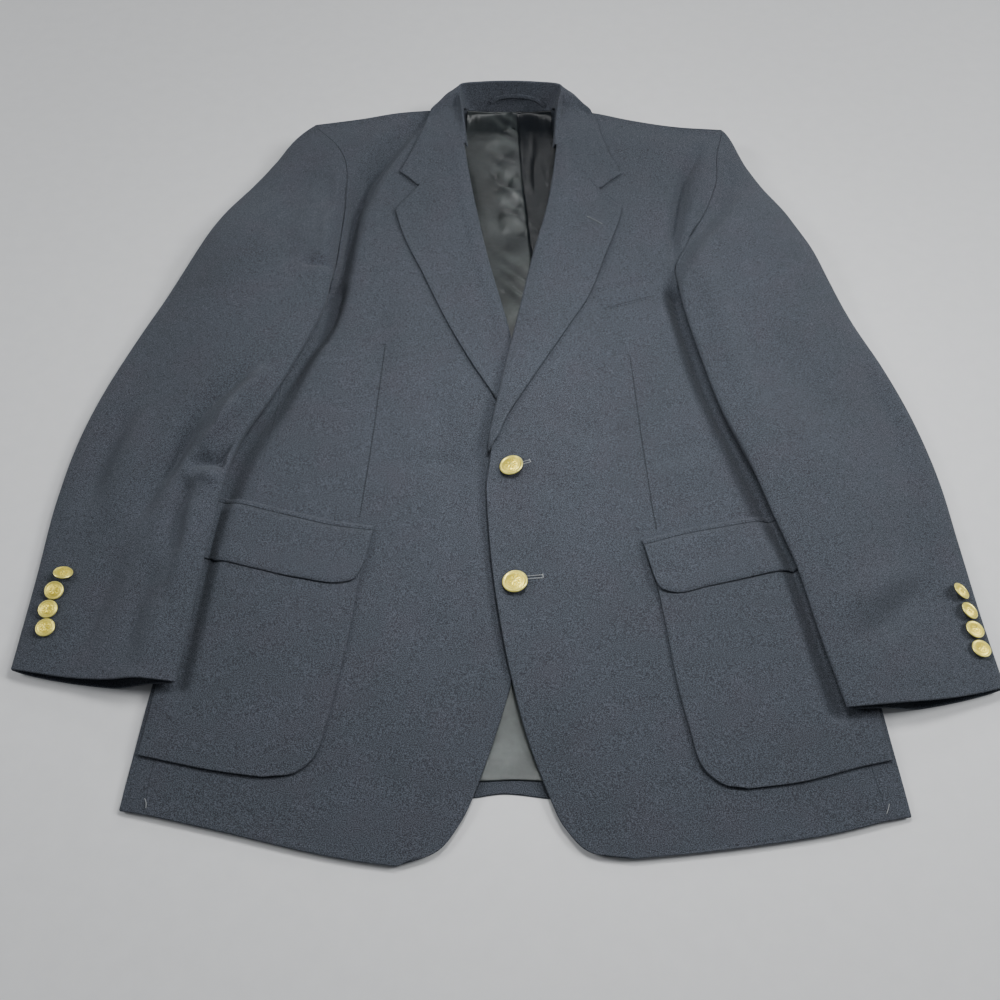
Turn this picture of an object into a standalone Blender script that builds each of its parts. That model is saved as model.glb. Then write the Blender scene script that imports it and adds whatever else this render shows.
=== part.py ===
"""Single-breasted wool blazer lying flat on its back, one closed solid for each sewn piece.

X runs across the garment, Y from the hem to the collar, and Z up from the surface it lies on.
side is -1 for the wearer's right half, which lies under, and 1 for the left half, which lies over.
"""
import bpy
import numpy as np
from mathutils import Euler
from mathutils import Vector

CLOTH = 0.0016
FACING = 0.0020
LINING = 0.0010
TAPE = 0.0012
SEAM = 0.0003
LAYER = CLOTH + SEAM + 0.0003
FACE_LAYER = 0.5 * (CLOTH + FACING) + SEAM + 0.0003
FLOOR = 0.5 * CLOTH
MIDDLE_X = -0.0073
MIDDLE_Y = 0.4312

SIDE_ROUND = 0.030
UNDER_ROUND = 0.008
FOLD_HALF = 0.5
SHOULDER_ROLL = 0.045
BACK_RISE = 0.030
BACK_BULGE = 0.0085

OVERLAP_DROP = 0.0012
OVERLAP_LIFT = 0.0018
BREAK_LIFT = 0.0058
ROLL_INSET = 0.0035
FLAP_PAD = 0.0048

FRONT_BUTTON_RADIUS = 0.0105
CUFF_BUTTON_RADIUS = 0.0076

# y, half width of the body at its side folds
HALF_WIDTH = (
    (0.00, 0.2880), (0.04, 0.2870), (0.08, 0.2845), (0.13, 0.2810), (0.20, 0.2730), (0.30, 0.2650),
    (0.40, 0.2620), (0.48, 0.2640), (0.55, 0.2690), (0.60, 0.2850), (0.66, 0.3200), (0.90, 0.3300),
)
# y, height of the middle of a front's cloth
HEIGHT = (
    (-0.01, 0.0044), (0.05, 0.0054), (0.10, 0.0068), (0.20, 0.0094), (0.30, 0.0120), (0.45, 0.0166),
    (0.60, 0.0226), (0.70, 0.0276), (0.76, 0.0305), (0.80, 0.0300), (0.90, 0.0290),
)
# step from hem to shoulder, x, y of a front's edge: hem corner, closing edge, roll line, neck
FRONT_EDGE = {
    -1: (
        (0.00, -0.0840, -0.0015), (0.03, -0.0560, 0.0085), (0.06, -0.0400, 0.0280),
        (0.10, -0.0270, 0.0570), (0.15, -0.0130, 0.0980), (0.20, -0.0010, 0.1400),
        (0.28, 0.0120, 0.2120), (0.38, 0.0200, 0.2980), (0.47, 0.0180, 0.3740),
        (0.53, 0.0100, 0.4260), (0.60, 0.0000, 0.4820), (0.74, -0.0245, 0.5940),
        (0.87, -0.0430, 0.7020), (0.94, -0.0500, 0.7550), (1.00, -0.0560, 0.8120),
    ),
    1: (
        (0.00, 0.0840, 0.0035), (0.03, 0.0540, 0.0080), (0.06, 0.0370, 0.0245),
        (0.10, 0.0250, 0.0500), (0.15, 0.0100, 0.0920), (0.20, 0.0000, 0.1320),
        (0.28, -0.0130, 0.2050), (0.38, -0.0210, 0.2900), (0.45, -0.0220, 0.3440),
        (0.53, -0.0130, 0.4080), (0.60, -0.0025, 0.4620), (0.65, 0.0050, 0.4990),
        (0.76, 0.0230, 0.5930), (0.83, 0.0370, 0.6520), (0.94, 0.0510, 0.7490),
        (1.00, 0.0570, 0.8120),
    ),
}
# step from hem to shoulder, x, y of a front's outer edge: side seam to 0.665, then the armhole
SIDE_EDGE = {
    -1: (
        (0.00, -0.2690, 0.0350), (0.10, -0.2670, 0.0850), (0.20, -0.2510, 0.1600),
        (0.28, -0.2390, 0.2200), (0.38, -0.2240, 0.3010), (0.50, -0.2170, 0.4080),
        (0.60, -0.2145, 0.4850), (0.665, -0.2140, 0.5280), (0.70, -0.1960, 0.5310),
        (0.735, -0.1810, 0.5475), (0.76, -0.1755, 0.5720), (0.80, -0.1735, 0.6100),
        (0.85, -0.1720, 0.6630), (0.90, -0.1750, 0.7160), (0.95, -0.1870, 0.7480),
        (1.00, -0.2165, 0.7870),
    ),
    1: (
        (0.00, 0.2700, 0.0305), (0.10, 0.2620, 0.0850), (0.20, 0.2500, 0.1600),
        (0.28, 0.2390, 0.2200), (0.38, 0.2260, 0.3010), (0.50, 0.2180, 0.4080),
        (0.60, 0.2150, 0.4850), (0.665, 0.2140, 0.5280), (0.70, 0.1940, 0.5310),
        (0.735, 0.1740, 0.5450), (0.76, 0.1640, 0.5640), (0.80, 0.1780, 0.6020),
        (0.85, 0.2020, 0.6480), (0.90, 0.2190, 0.6950), (0.95, 0.2240, 0.7350),
        (1.00, 0.2355, 0.7785),
    ),
}
# step from centre to side, x, y of a front's hem
HEM = {
    -1: ((0.00, -0.0840, -0.0015), (0.20, -0.1150, 0.0025), (0.40, -0.1480, 0.0085),
         (0.70, -0.2100, 0.0225), (1.00, -0.2690, 0.0350)),
    1: ((0.00, 0.0840, 0.0035), (0.25, 0.1330, 0.0080), (0.50, 0.1830, 0.0140),
        (0.80, 0.2360, 0.0225), (1.00, 0.2700, 0.0305)),
}
# step from neck to sleeve, x, y, z of the shoulder seam
SHOULDER = {
    -1: ((0.00, -0.0560, 0.8120, 0.0295), (0.20, -0.0880, 0.8110, 0.0285),
         (0.43, -0.1250, 0.8080, 0.0275), (0.67, -0.1630, 0.7980, 0.0275),
         (1.00, -0.2165, 0.7870, 0.0275)),
    1: ((0.00, 0.0570, 0.8120, 0.0295), (0.22, 0.0970, 0.8060, 0.0285),
        (0.42, 0.1320, 0.7960, 0.0275), (0.71, 0.1840, 0.7835, 0.0275),
        (1.00, 0.2355, 0.7785, 0.0275)),
}
# step from the nape to the shoulder, x, y, z, bulge of the back's neck seam
BACK_NECK = (
    (0.00, 0.0000, 0.8405, 0.0090, 0.0), (0.13, 0.0320, 0.8385, 0.0105, 0.0),
    (0.24, 0.0500, 0.8300, 0.0180, 0.3), (0.34, 0.0580, 0.8135, 0.0280, 0.8),
)
NECK_SHARE = 0.34
# step across the back, x, y of its hem
BACK_HEM = (
    (-1.00, -0.2120, 0.0430), (-0.50, -0.1100, 0.0455), (-0.14, -0.0310, 0.0480),
    (0.00, -0.0060, 0.0510), (0.14, 0.0270, 0.0475), (0.50, 0.1100, 0.0450), (1.00, 0.2120, 0.0430),
)
# step from hem to shoulder, x, y of the back's side seam and armhole
BACK_EDGE = {
    -1: ((0.00, -0.2120, 0.0430), (0.16, -0.2030, 0.1400), (0.32, -0.1950, 0.2600),
         (0.47, -0.1900, 0.3800), (0.60, -0.1930, 0.4800), (0.69, -0.2080, 0.5450),
         (0.77, -0.2280, 0.6000), (0.86, -0.2130, 0.6600), (0.94, -0.2080, 0.7200),
         (1.00, -0.2110, 0.7570)),
    1: ((0.00, 0.2120, 0.0430), (0.16, 0.2030, 0.1400), (0.32, 0.1950, 0.2600),
        (0.47, 0.1900, 0.3800), (0.60, 0.1930, 0.4800), (0.69, 0.2080, 0.5450),
        (0.77, 0.2280, 0.6000), (0.86, 0.2160, 0.6600), (0.94, 0.2200, 0.7150),
        (1.00, 0.2280, 0.7485)),
}
# steps of the front's rows from its hem to the shoulder, shared by the pieces sewn to it
FRONT_ROWS = (0, 0.02, 0.045, 0.075, 0.11, 0.16, 0.22, 0.28, 0.34, 0.40, 0.45, 0.50, 0.55, 0.60, 0.64,
              0.665, 0.70, 0.735, 0.76, 0.80, 0.85, 0.90, 0.935, 0.965, 0.985, 1.0)
SEAM_ROWS = 16
ARMHOLE_ROW = 18
# step along a lapel from break to gorge, x, y of its free edge
LAPEL_EDGE = {
    -1: ((0.00, 0.0080, 0.3720), (0.13, -0.0030, 0.3900), (0.24, -0.0145, 0.4110),
         (0.40, -0.0380, 0.4530), (0.56, -0.0620, 0.5020), (0.73, -0.0860, 0.5600),
         (0.89, -0.1090, 0.6150), (1.00, -0.1190, 0.6500)),
    1: ((0.00, -0.0120, 0.3640), (0.08, -0.0040, 0.3850), (0.18, 0.0140, 0.4190),
        (0.29, 0.0330, 0.4530), (0.44, 0.0580, 0.4990), (0.56, 0.0755, 0.5320),
        (0.72, 0.0925, 0.5800), (0.91, 0.1125, 0.6380), (1.00, 0.1165, 0.6550)),
}
# step from crease to point, x, y of a lapel's top edge, past the notch
LAPEL_TOP = {
    -1: ((0.00, -0.0500, 0.7510), (0.66, -0.0955, 0.6850), (1.00, -0.1190, 0.6500)),
    1: ((0.00, 0.0510, 0.7490), (0.64, 0.0930, 0.6800), (1.00, 0.1165, 0.6550)),
}
# front edge steps at which a lapel breaks and meets the collar
LAPEL_SPAN = {-1: (0.470, 0.9350), 1: (0.452, 0.9395)}

# step round the collar, x, y, z of its neck seam, crease, middle of the fall and free edge
COLLAR = {
    "neck": (
        (0.00, -0.0468, 0.7535, 0.0275), (0.08, -0.0488, 0.7750, 0.0272), (0.16, -0.0508, 0.7950, 0.0268),
        (0.23, -0.0525, 0.8120, 0.0272), (0.29, -0.0515, 0.8220, 0.0265), (0.35, -0.0470, 0.8332, 0.0165),
        (0.42, -0.0280, 0.8393, 0.0108), (0.50, 0.0000, 0.8407, 0.0094), (0.58, 0.0280, 0.8393, 0.0108),
        (0.65, 0.0470, 0.8332, 0.0165), (0.71, 0.0515, 0.8220, 0.0265), (0.77, 0.0530, 0.8120, 0.0272),
        (0.84, 0.0513, 0.7950, 0.0268), (0.92, 0.0495, 0.7740, 0.0272), (1.00, 0.0478, 0.7515, 0.0275),
    ),
    "crease": (
        (0.00, -0.0485, 0.7535, 0.0322), (0.08, -0.0503, 0.7760, 0.0348), (0.16, -0.0523, 0.7970, 0.0375),
        (0.23, -0.0545, 0.8160, 0.0395), (0.29, -0.0565, 0.8330, 0.0405), (0.35, -0.0540, 0.8430, 0.0415),
        (0.42, -0.0320, 0.8460, 0.0420), (0.50, 0.0000, 0.8470, 0.0425), (0.58, 0.0320, 0.8460, 0.0420),
        (0.65, 0.0560, 0.8430, 0.0415), (0.71, 0.0585, 0.8330, 0.0405), (0.77, 0.0555, 0.8160, 0.0395),
        (0.84, 0.0530, 0.7970, 0.0375), (0.92, 0.0512, 0.7750, 0.0348), (1.00, 0.0495, 0.7515, 0.0322),
    ),
    "fall": (
        (0.00, -0.0955, 0.6880, 0.0320), (0.08, -0.0880, 0.7320, 0.0330), (0.16, -0.0800, 0.7760, 0.0340),
        (0.23, -0.0765, 0.8060, 0.0350), (0.29, -0.0730, 0.8260, 0.0370), (0.35, -0.0640, 0.8420, 0.0330),
        (0.42, -0.0400, 0.8560, 0.0280), (0.50, 0.0000, 0.8590, 0.0270), (0.58, 0.0400, 0.8560, 0.0280),
        (0.65, 0.0660, 0.8420, 0.0330), (0.71, 0.0750, 0.8260, 0.0370), (0.77, 0.0800, 0.8060, 0.0350),
        (0.84, 0.0820, 0.7760, 0.0340), (0.92, 0.0890, 0.7300, 0.0330), (1.00, 0.0930, 0.6830, 0.0320),
    ),
    "edge": (
        (0.00, -0.1170, 0.7070, 0.0320), (0.08, -0.1070, 0.7350, 0.0325), (0.16, -0.0980, 0.7640, 0.0335),
        (0.23, -0.0915, 0.7940, 0.0340), (0.29, -0.0860, 0.8120, 0.0330), (0.35, -0.0720, 0.8380, 0.0220),
        (0.42, -0.0440, 0.8590, 0.0110), (0.50, 0.0000, 0.8630, 0.0080), (0.58, 0.0440, 0.8590, 0.0110),
        (0.65, 0.0740, 0.8380, 0.0220), (0.71, 0.0885, 0.8110, 0.0330), (0.77, 0.0955, 0.7960, 0.0340),
        (0.84, 0.0990, 0.7680, 0.0335), (0.92, 0.1075, 0.7350, 0.0325), (1.00, 0.1190, 0.7050, 0.0320),
    ),
}

# step from shoulder to cuff, x, y of a sleeve's outer fold
SLEEVE_OUTER = {
    -1: ((0.00, -0.2165, 0.7870), (0.04, -0.2390, 0.7650), (0.12, -0.2665, 0.7160),
         (0.21, -0.2960, 0.6600), (0.31, -0.3210, 0.5940), (0.39, -0.3380, 0.5470),
         (0.47, -0.3565, 0.4940), (0.59, -0.3810, 0.4110), (0.68, -0.3910, 0.3550),
         (0.76, -0.3945, 0.3020), (0.88, -0.3935, 0.2270), (1.00, -0.3930, 0.1465)),
    1: ((0.00, 0.2350, 0.7785), (0.03, 0.2435, 0.7640), (0.11, 0.2645, 0.7100),
        (0.19, 0.2860, 0.6570), (0.235, 0.2950, 0.6270), (0.28, 0.3055, 0.5980), (0.36, 0.3195, 0.5470),
        (0.42, 0.3310, 0.5080), (0.50, 0.3490, 0.4560), (0.61, 0.3670, 0.3820),
        (0.70, 0.3745, 0.3220), (0.79, 0.3760, 0.2620), (0.90, 0.3775, 0.1900),
        (1.00, 0.3800, 0.1310)),
}
# step from armhole to cuff, x, y of a sleeve's inner fold
SLEEVE_INNER = {
    -1: ((0.00, -0.1755, 0.5660), (0.05, -0.1760, 0.5440), (0.13, -0.1800, 0.5080),
         (0.20, -0.1890, 0.4790), (0.27, -0.2010, 0.4490), (0.38, -0.2190, 0.4040),
         (0.50, -0.2400, 0.3560), (0.62, -0.2490, 0.3050), (0.77, -0.2540, 0.2410),
         (0.90, -0.2570, 0.1790), (1.00, -0.2600, 0.1315)),
    1: ((0.00, 0.1635, 0.5600), (0.09, 0.1650, 0.5180), (0.16, 0.1700, 0.4860),
        (0.24, 0.1770, 0.4510), (0.38, 0.1910, 0.3860), (0.48, 0.2040, 0.3440),
        (0.63, 0.2200, 0.2800), (0.75, 0.2330, 0.2280), (0.85, 0.2400, 0.1800),
        (1.00, 0.2520, 0.1110)),
}
# step from the shoulder round the underarm to the inner fold, x, y, share of the body's height below
UNDERARM = {
    -1: ((0.00, -0.2175, 0.7875, 0.0), (0.09, -0.2120, 0.7570, 0.0), (0.19, -0.2090, 0.7200, 0.0),
         (0.30, -0.2140, 0.6605, 0.0), (0.42, -0.2292, 0.6010, 0.0), (0.50, -0.2500, 0.5730, 0.0),
         (0.54, -0.2740, 0.5500, 0.0), (0.56, -0.2758, 0.5475, 0.35), (0.59, -0.2725, 0.5440, 1.0),
         (0.65, -0.2560, 0.5380, 1.0), (0.74, -0.2350, 0.5305, 1.0), (0.82, -0.2145, 0.5280, 1.0),
         (0.90, -0.1962, 0.5310, 1.0), (0.96, -0.1812, 0.5477, 1.0), (1.00, -0.1765, 0.5720, 1.0)),
    1: ((0.00, 0.2365, 0.7790, 0.0), (0.09, 0.2290, 0.7495, 0.0), (0.19, 0.2210, 0.7150, 0.0),
        (0.30, 0.2170, 0.6605, 0.0), (0.42, 0.2292, 0.6010, 0.0), (0.50, 0.2500, 0.5730, 0.0),
        (0.54, 0.2740, 0.5500, 0.0), (0.56, 0.2758, 0.5475, 0.35), (0.59, 0.2725, 0.5440, 1.0),
        (0.65, 0.2560, 0.5380, 1.0), (0.74, 0.2350, 0.5305, 1.0), (0.82, 0.2145, 0.5280, 1.0),
        (0.90, 0.1942, 0.5310, 1.0), (0.96, 0.1742, 0.5450, 1.0), (1.00, 0.1650, 0.5640, 1.0)),
}
# step from shoulder to cuff, sleeve thickness beside the body, thickness on the body
SLEEVE_THICK = (
    (0.00, 0.0250, 0.0140), (0.10, 0.0270, 0.0150), (0.25, 0.0240, 0.0145), (0.45, 0.0190, 0.0125),
    (0.70, 0.0140, 0.0100), (0.90, 0.0115, 0.0080), (1.00, 0.0120, 0.0078),
)
CUFF_BOW = 0.004
ARMPIT_PUSH = 0.016

# step up a pocket, x, y of its front edge, from the rounded corner
POCKET_FRONT = {
    -1: ((0.00, -0.1860, 0.0610), (0.08, -0.1630, 0.0640), (0.15, -0.1500, 0.0750),
         (0.25, -0.1430, 0.1000), (0.40, -0.1370, 0.1350), (0.60, -0.1310, 0.1800),
         (0.80, -0.1275, 0.2200), (1.00, -0.1240, 0.2620)),
    1: ((0.00, 0.1710, 0.0525), (0.08, 0.1530, 0.0560), (0.15, 0.1400, 0.0680),
        (0.25, 0.1330, 0.0980), (0.40, 0.1270, 0.1330), (0.60, 0.1230, 0.1760),
        (0.80, 0.1190, 0.2140), (1.00, 0.1140, 0.2520)),
}
# step from front to side, x, y of a pocket's lower edge
POCKET_LOWER = {
    -1: ((0.00, -0.1860, 0.0610), (0.40, -0.2250, 0.0665), (0.75, -0.2600, 0.0735), (1.00, -0.2800, 0.0780)),
    1: ((0.00, 0.1710, 0.0525), (0.40, 0.2130, 0.0580), (0.75, 0.2530, 0.0680), (1.00, 0.2800, 0.0740)),
}
# step from front to side, x, y of a flap's sewn edge and of its free edge
FLAP_UPPER = {
    -1: ((0.00, -0.1170, 0.2740), (0.25, -0.1510, 0.2790), (0.50, -0.1840, 0.2875), (1.00, -0.2580, 0.3080)),
    1: ((0.00, 0.1090, 0.2600), (0.25, 0.1440, 0.2705), (0.50, 0.1830, 0.2785), (1.00, 0.2580, 0.2930)),
}
FLAP_LOWER = {
    -1: ((0.00, -0.1245, 0.2330), (0.06, -0.1300, 0.2235), (0.13, -0.1390, 0.2200), (0.35, -0.1750, 0.2240),
         (0.60, -0.2060, 0.2310), (1.00, -0.2660, 0.2470)),
    1: ((0.00, 0.1160, 0.2240), (0.06, 0.1200, 0.2150), (0.13, 0.1290, 0.2110), (0.35, 0.1620, 0.2170),
        (0.60, 0.2020, 0.2265), (1.00, 0.2660, 0.2430)),
}
# corner x, y of the breast welt: lower inner, lower outer, upper outer, upper inner
WELT = ((0.0860, 0.5150), (0.1510, 0.5370), (0.1400, 0.5560), (0.0790, 0.5340))

# x, y, leaning about X and about Y in degrees of each button
FRONT_BUTTONS = ((0.0000, 0.3310, -4.0, -14.0), (0.0020, 0.2195, -4.0, -8.0))
CUFF_BUTTONS = {
    -1: ((-0.3690, 0.2265, -24.0, 14.0), (-0.3730, 0.2125, 16.0, 4.0),
         (-0.3740, 0.1955, 8.0, 4.0), (-0.3720, 0.1790, 4.0, 2.0)),
    1: ((0.3630, 0.2110, -10.0, 30.0), (0.3660, 0.1940, -6.0, 24.0),
        (0.3665, 0.1775, -4.0, 12.0), (0.3675, 0.1610, -4.0, 6.0)),
}
# step along the hanger loop, x, z
LOOP = ((0.0, -0.0210, 0.0200), (0.2, -0.0120, 0.0258), (0.45, 0.0070, 0.0280), (0.7, 0.0270, 0.0258),
        (0.88, 0.0360, 0.0215), (1.0, 0.0405, 0.0180))
LOOP_WIDTH = 0.0045
LOOP_CLEAR = 0.5 * (FACING + TAPE) + SEAM + 0.0005

# share of a button's radius, height above the cloth, from the foot of the shank to the dome
BUTTON_PROFILE = (
    (0.00, 0.0000), (0.20, 0.0000), (0.20, 0.0020), (0.93, 0.0026), (1.00, 0.0034), (0.93, 0.0044),
    (0.80, 0.0040), (0.45, 0.0050), (0.00, 0.0054),
)

WOOL = (0.052, 0.062, 0.078, 1.0)
SATIN = (0.080, 0.082, 0.072, 1.0)
BRASS = (0.780, 0.620, 0.240, 1.0)


def along(rows, t):
    """Values at each t of the smooth curve through rows, whose first column is the parameter."""
    rows = np.asarray(rows, float)
    knots, values = rows[:, 0], rows[:, 1:]
    t = np.clip(np.asarray(t, float), knots[0], knots[-1])
    step = np.diff(knots)[:, None]
    chord = np.diff(values, axis=0) / step
    slope = np.empty_like(values)
    slope[0] = chord[0]
    slope[-1] = chord[-1]
    slope[1:-1] = (chord[:-1] * step[1:] + chord[1:] * step[:-1]) / (step[1:] + step[:-1])
    i = np.clip(np.searchsorted(knots, t, side="right") - 1, 0, len(knots) - 2)
    h = step[i]
    s = ((t - knots[i])[..., None]) / h
    return ((1 + 2 * s) * (1 - s) ** 2 * values[i] + s * (1 - s) ** 2 * h * slope[i]
            + s ** 2 * (3 - 2 * s) * values[i + 1] + s ** 2 * (s - 1) * h * slope[i + 1])


def ease(s):
    """Smooth step from 0 to 1 over s from 0 to 1."""
    s = np.clip(s, 0.0, 1.0)
    return s * s * (3.0 - 2.0 * s)


def straight(rows, t):
    """Values at each t of the broken line through rows, whose first column is the parameter."""
    rows = np.asarray(rows, float)
    return np.stack([np.interp(t, rows[:, 0], column) for column in rows[:, 1:].T], axis=-1)


def patch(near, far, first, last, u, v):
    """Grid of points between four edges: near and far run with u, first and last with v."""
    u = u[None, :, None]
    v = v[:, None, None]
    near, far = near[None], far[None]
    first, last = first[:, None], last[:, None]
    corners = ((1 - u) * (1 - v) * near[:, :1] + u * (1 - v) * near[:, -1:]
               + (1 - u) * v * far[:, :1] + u * v * far[:, -1:])
    return (1 - v) * near + v * far + (1 - u) * first + u * last - corners


def shoulder_at(x, side):
    """y and z of the shoulder seam over x."""
    rows = np.asarray(SHOULDER[side])
    order = np.argsort(rows[:, 1])
    y = np.interp(x, rows[order, 1], rows[order, 2])
    z = np.interp(x, rows[order, 1], rows[order, 3])
    return y, z


def front_z(x, y, side):
    """Height of the middle of the cloth of a front, or of the side panel's upper layer."""
    height = along(HEIGHT, y)[..., 0]
    width = along(HALF_WIDTH, y)[..., 0]
    centre = ease((0.090 - side * x) / 0.060)
    closed = ease((y - 0.060) / 0.060)
    if side < 0:
        height = height - OVERLAP_DROP * ease((0.060 + x) / 0.060) * closed * ease((0.52 - y) / 0.06)
    else:
        broken = ease((y - 0.300) / 0.055) * ease((0.575 - y) / 0.080)
        height = height + (OVERLAP_LIFT * (1 - broken) * ease((0.60 - y) / 0.10)
                           + BREAK_LIFT * broken) * centre * closed
    inside = np.clip((width - np.abs(x)) / SIDE_ROUND, 0.0, 1.0)
    fold = FLOOR + FOLD_HALF * (height - FLOOR)
    height = fold + (height - fold) * np.sqrt(1 - (1 - inside) ** 2)
    seam_y, seam_z = shoulder_at(x, side)
    return height + (seam_z - height) * ease((y - seam_y + SHOULDER_ROLL) / SHOULDER_ROLL)


def on_front(plan, side, out):
    """Points of plan on a front, moved out along its normal."""
    x, y = plan[..., 0], plan[..., 1]
    step = 0.0005
    z = front_z(x, y, side)
    dx = (front_z(x + step, y, side) - front_z(x - step, y, side)) / (2 * step)
    dy = (front_z(x, y + step, side) - front_z(x, y - step, side)) / (2 * step)
    long = np.sqrt(1 + dx ** 2 + dy ** 2)
    return np.stack([x - out * dx / long, y - out * dy / long, z + out / long], axis=-1)


def front(side):
    """Front panel: hem to shoulder, closing edge and roll line to side seam and armhole."""
    u = np.linspace(0, 1, 14)
    v = np.array(FRONT_ROWS)
    edge = along(FRONT_EDGE[side], v)
    edge[:, 0] += side * ROLL_INSET * ease((v - LAPEL_SPAN[side][0] + 0.05) / 0.05)
    shoulder = along(SHOULDER[side], u)[:, :2]
    shoulder[:, 0] += (1 - u) * (edge[-1, 0] - shoulder[0, 0])
    plan = patch(along(HEM[side], u), shoulder, edge, along(SIDE_EDGE[side], v), u, v)
    return np.concatenate([plan, front_z(plan[..., 0], plan[..., 1], side)[..., None]], axis=-1)


def side_panel(side):
    """Underarm panel: from the front seam round the side fold to the back seam."""
    step = np.array(FRONT_ROWS[:SEAM_ROWS])
    v = step / step[-1]
    seam = along(SIDE_EDGE[side], step)
    seam_x = side * seam[:, 0] + 2 * SEAM
    seam_y = seam[:, 1]
    fold_y = seam_y + 0.003 + 0.014 * v
    back_y = seam_y + 0.008 + 0.063 * v
    width = along(HALF_WIDTH, fold_y)[:, 0]
    edge = np.asarray(BACK_EDGE[side])
    back_x = side * np.interp(back_y, edge[:, 2], edge[:, 1]) + 2 * SEAM
    rows = []
    for turn in np.array([0, 0.2, 0.4, 0.58, 0.74, 0.88, 1.0]):
        gap = (width - seam_x) * (1 - np.sin(0.5 * np.pi * turn))
        y = fold_y + (seam_y - fold_y) * (1 - np.sin(0.5 * np.pi * turn))
        x = width - gap
        rows.append(np.stack([side * x, y, front_z(side * x, y, side)], axis=-1))
    height = rows[-1][:, 2]
    for share, lift in ((0.10, 0.42), (0.45, 0.08), (1.0, 0.0)):
        x = width - share * UNDER_ROUND
        y = fold_y + (back_y - fold_y) * (width - x) / (width - back_x)
        rows.append(np.stack([side * x, y, FLOOR + lift * (height - FLOOR)], axis=-1))
    for share in (0.4, 1.0):
        x = (width - UNDER_ROUND) * (1 - share) + back_x * share
        y = fold_y + (back_y - fold_y) * (width - x) / (width - back_x)
        rows.append(np.stack([side * x, y, FLOOR + 0 * x], axis=-1))
    return np.stack(rows, axis=1)


def rise(seam_y, seam_z, bulge, reach, floor, q):
    """y and z of cloth that leaves the floor and turns up to a seam, at steps q."""
    y = ((1 - q) ** 3 * (seam_y - reach) + 3 * (1 - q) ** 2 * q * (seam_y + bulge)
         + 3 * (1 - q) * q ** 2 * (seam_y + 1.2 * bulge) + q ** 3 * seam_y)
    z = ((1 - q) ** 3 * floor + 3 * (1 - q) ** 2 * q * floor
         + 3 * (1 - q) * q ** 2 * (floor + 0.6 * (seam_z - floor)) + q ** 3 * seam_z)
    return y, z


def back_top(u):
    """x, y, z and bulge of the back's neck and shoulder seams at steps u from -1 to 1."""
    u = np.asarray(u, float)
    neck = along(BACK_NECK, np.abs(u))
    neck[:, 0] *= np.sign(u)
    share = np.clip((np.abs(u) - NECK_SHARE) / (1 - NECK_SHARE), 0, 1)
    sewn = np.where((u < 0)[:, None], along(SHOULDER[-1], share), along(SHOULDER[1], share))
    sewn = sewn + np.array([0.0, 8 * SEAM, -2 * SEAM])
    bulge = along(((0.0, 0.8), (0.15, 1.0), (0.8, 1.0), (1.0, 0.5)), share)
    return np.where((np.abs(u) > NECK_SHARE)[:, None], np.concatenate([sewn, bulge], axis=-1), neck)


def back():
    """Back panel, flat on the floor and turned up to the shoulder and neck seams."""
    half = np.array([0.08, 0.16, 0.24, 0.32, 0.40, 0.5, 0.64, 0.82, 1.0])
    u = np.concatenate([-half[::-1], [0.0], half])
    v = np.asarray(BACK_EDGE[1])[:, 0]
    top = back_top(u)
    shelf = np.stack([top[:, 0], top[:, 1] - BACK_RISE], axis=-1)
    left, right = straight(BACK_EDGE[-1], v), straight(BACK_EDGE[1], v)
    shelf[0], shelf[-1] = left[-1], right[-1]
    plan = patch(along(BACK_HEM, u), shelf, left, right, 0.5 * (u + 1), v)
    flat = np.concatenate([plan, np.full(plan.shape[:2] + (1,), FLOOR)], axis=-1)
    rows = [flat]
    for q in (0.22, 0.42, 0.6, 0.75, 0.88, 1.0):
        y, z = rise(top[:, 1], top[:, 2], BACK_BULGE * top[:, 3], BACK_RISE, FLOOR, q)
        x = shelf[:, 0] + (top[:, 0] - shelf[:, 0]) * q
        rows.append(np.stack([x, y, z], axis=-1)[None])
    return np.concatenate(rows, axis=0)


def lining():
    """Back lining, with the centre pleat as a soft ridge."""
    u = np.array([-1, -0.72, -0.42, -0.16, 0.0, 0.06, 0.1, 0.14, 0.2, 0.36, 0.66, 1.0])
    y = np.array([0.0, 0.06, 0.13, 0.22, 0.32, 0.42, 0.52, 0.6, 0.68, 0.76, 0.84, 0.92, 1.0])
    hem = 0.0610 - 0.004 * np.abs(u)
    top = back_top(0.19 * u)
    half = 0.100 - 0.056 * ease((y - 0.70) / 0.30)
    start = top[:, 1] - BACK_RISE - 0.002
    flat_y = hem[None] + (start - hem)[None] * y[:, None]
    flat_x = u[None] * half[:, None]
    level = FLOOR + 0.5 * (CLOTH + LINING) + SEAM
    ridge = 0.0022 * np.exp(-((flat_x - 0.0100) / 0.0060) ** 2) * ease((flat_y - 0.45) / 0.15)
    rows = [np.stack([flat_x, flat_y, level + ridge], axis=-1)]
    for q in (0.3, 0.55, 0.78, 1.0):
        rise_y, rise_z = rise(top[:, 1] - 0.0024, top[:, 2] - 0.0005, 0 * u, BACK_RISE, level, q)
        rows.append(np.stack([u * half[-1] * (1 - 0.04 * q), rise_y, rise_z + (1 - q) * ridge[-1]],
                             axis=-1)[None])
    return np.concatenate(rows, axis=0)


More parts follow.
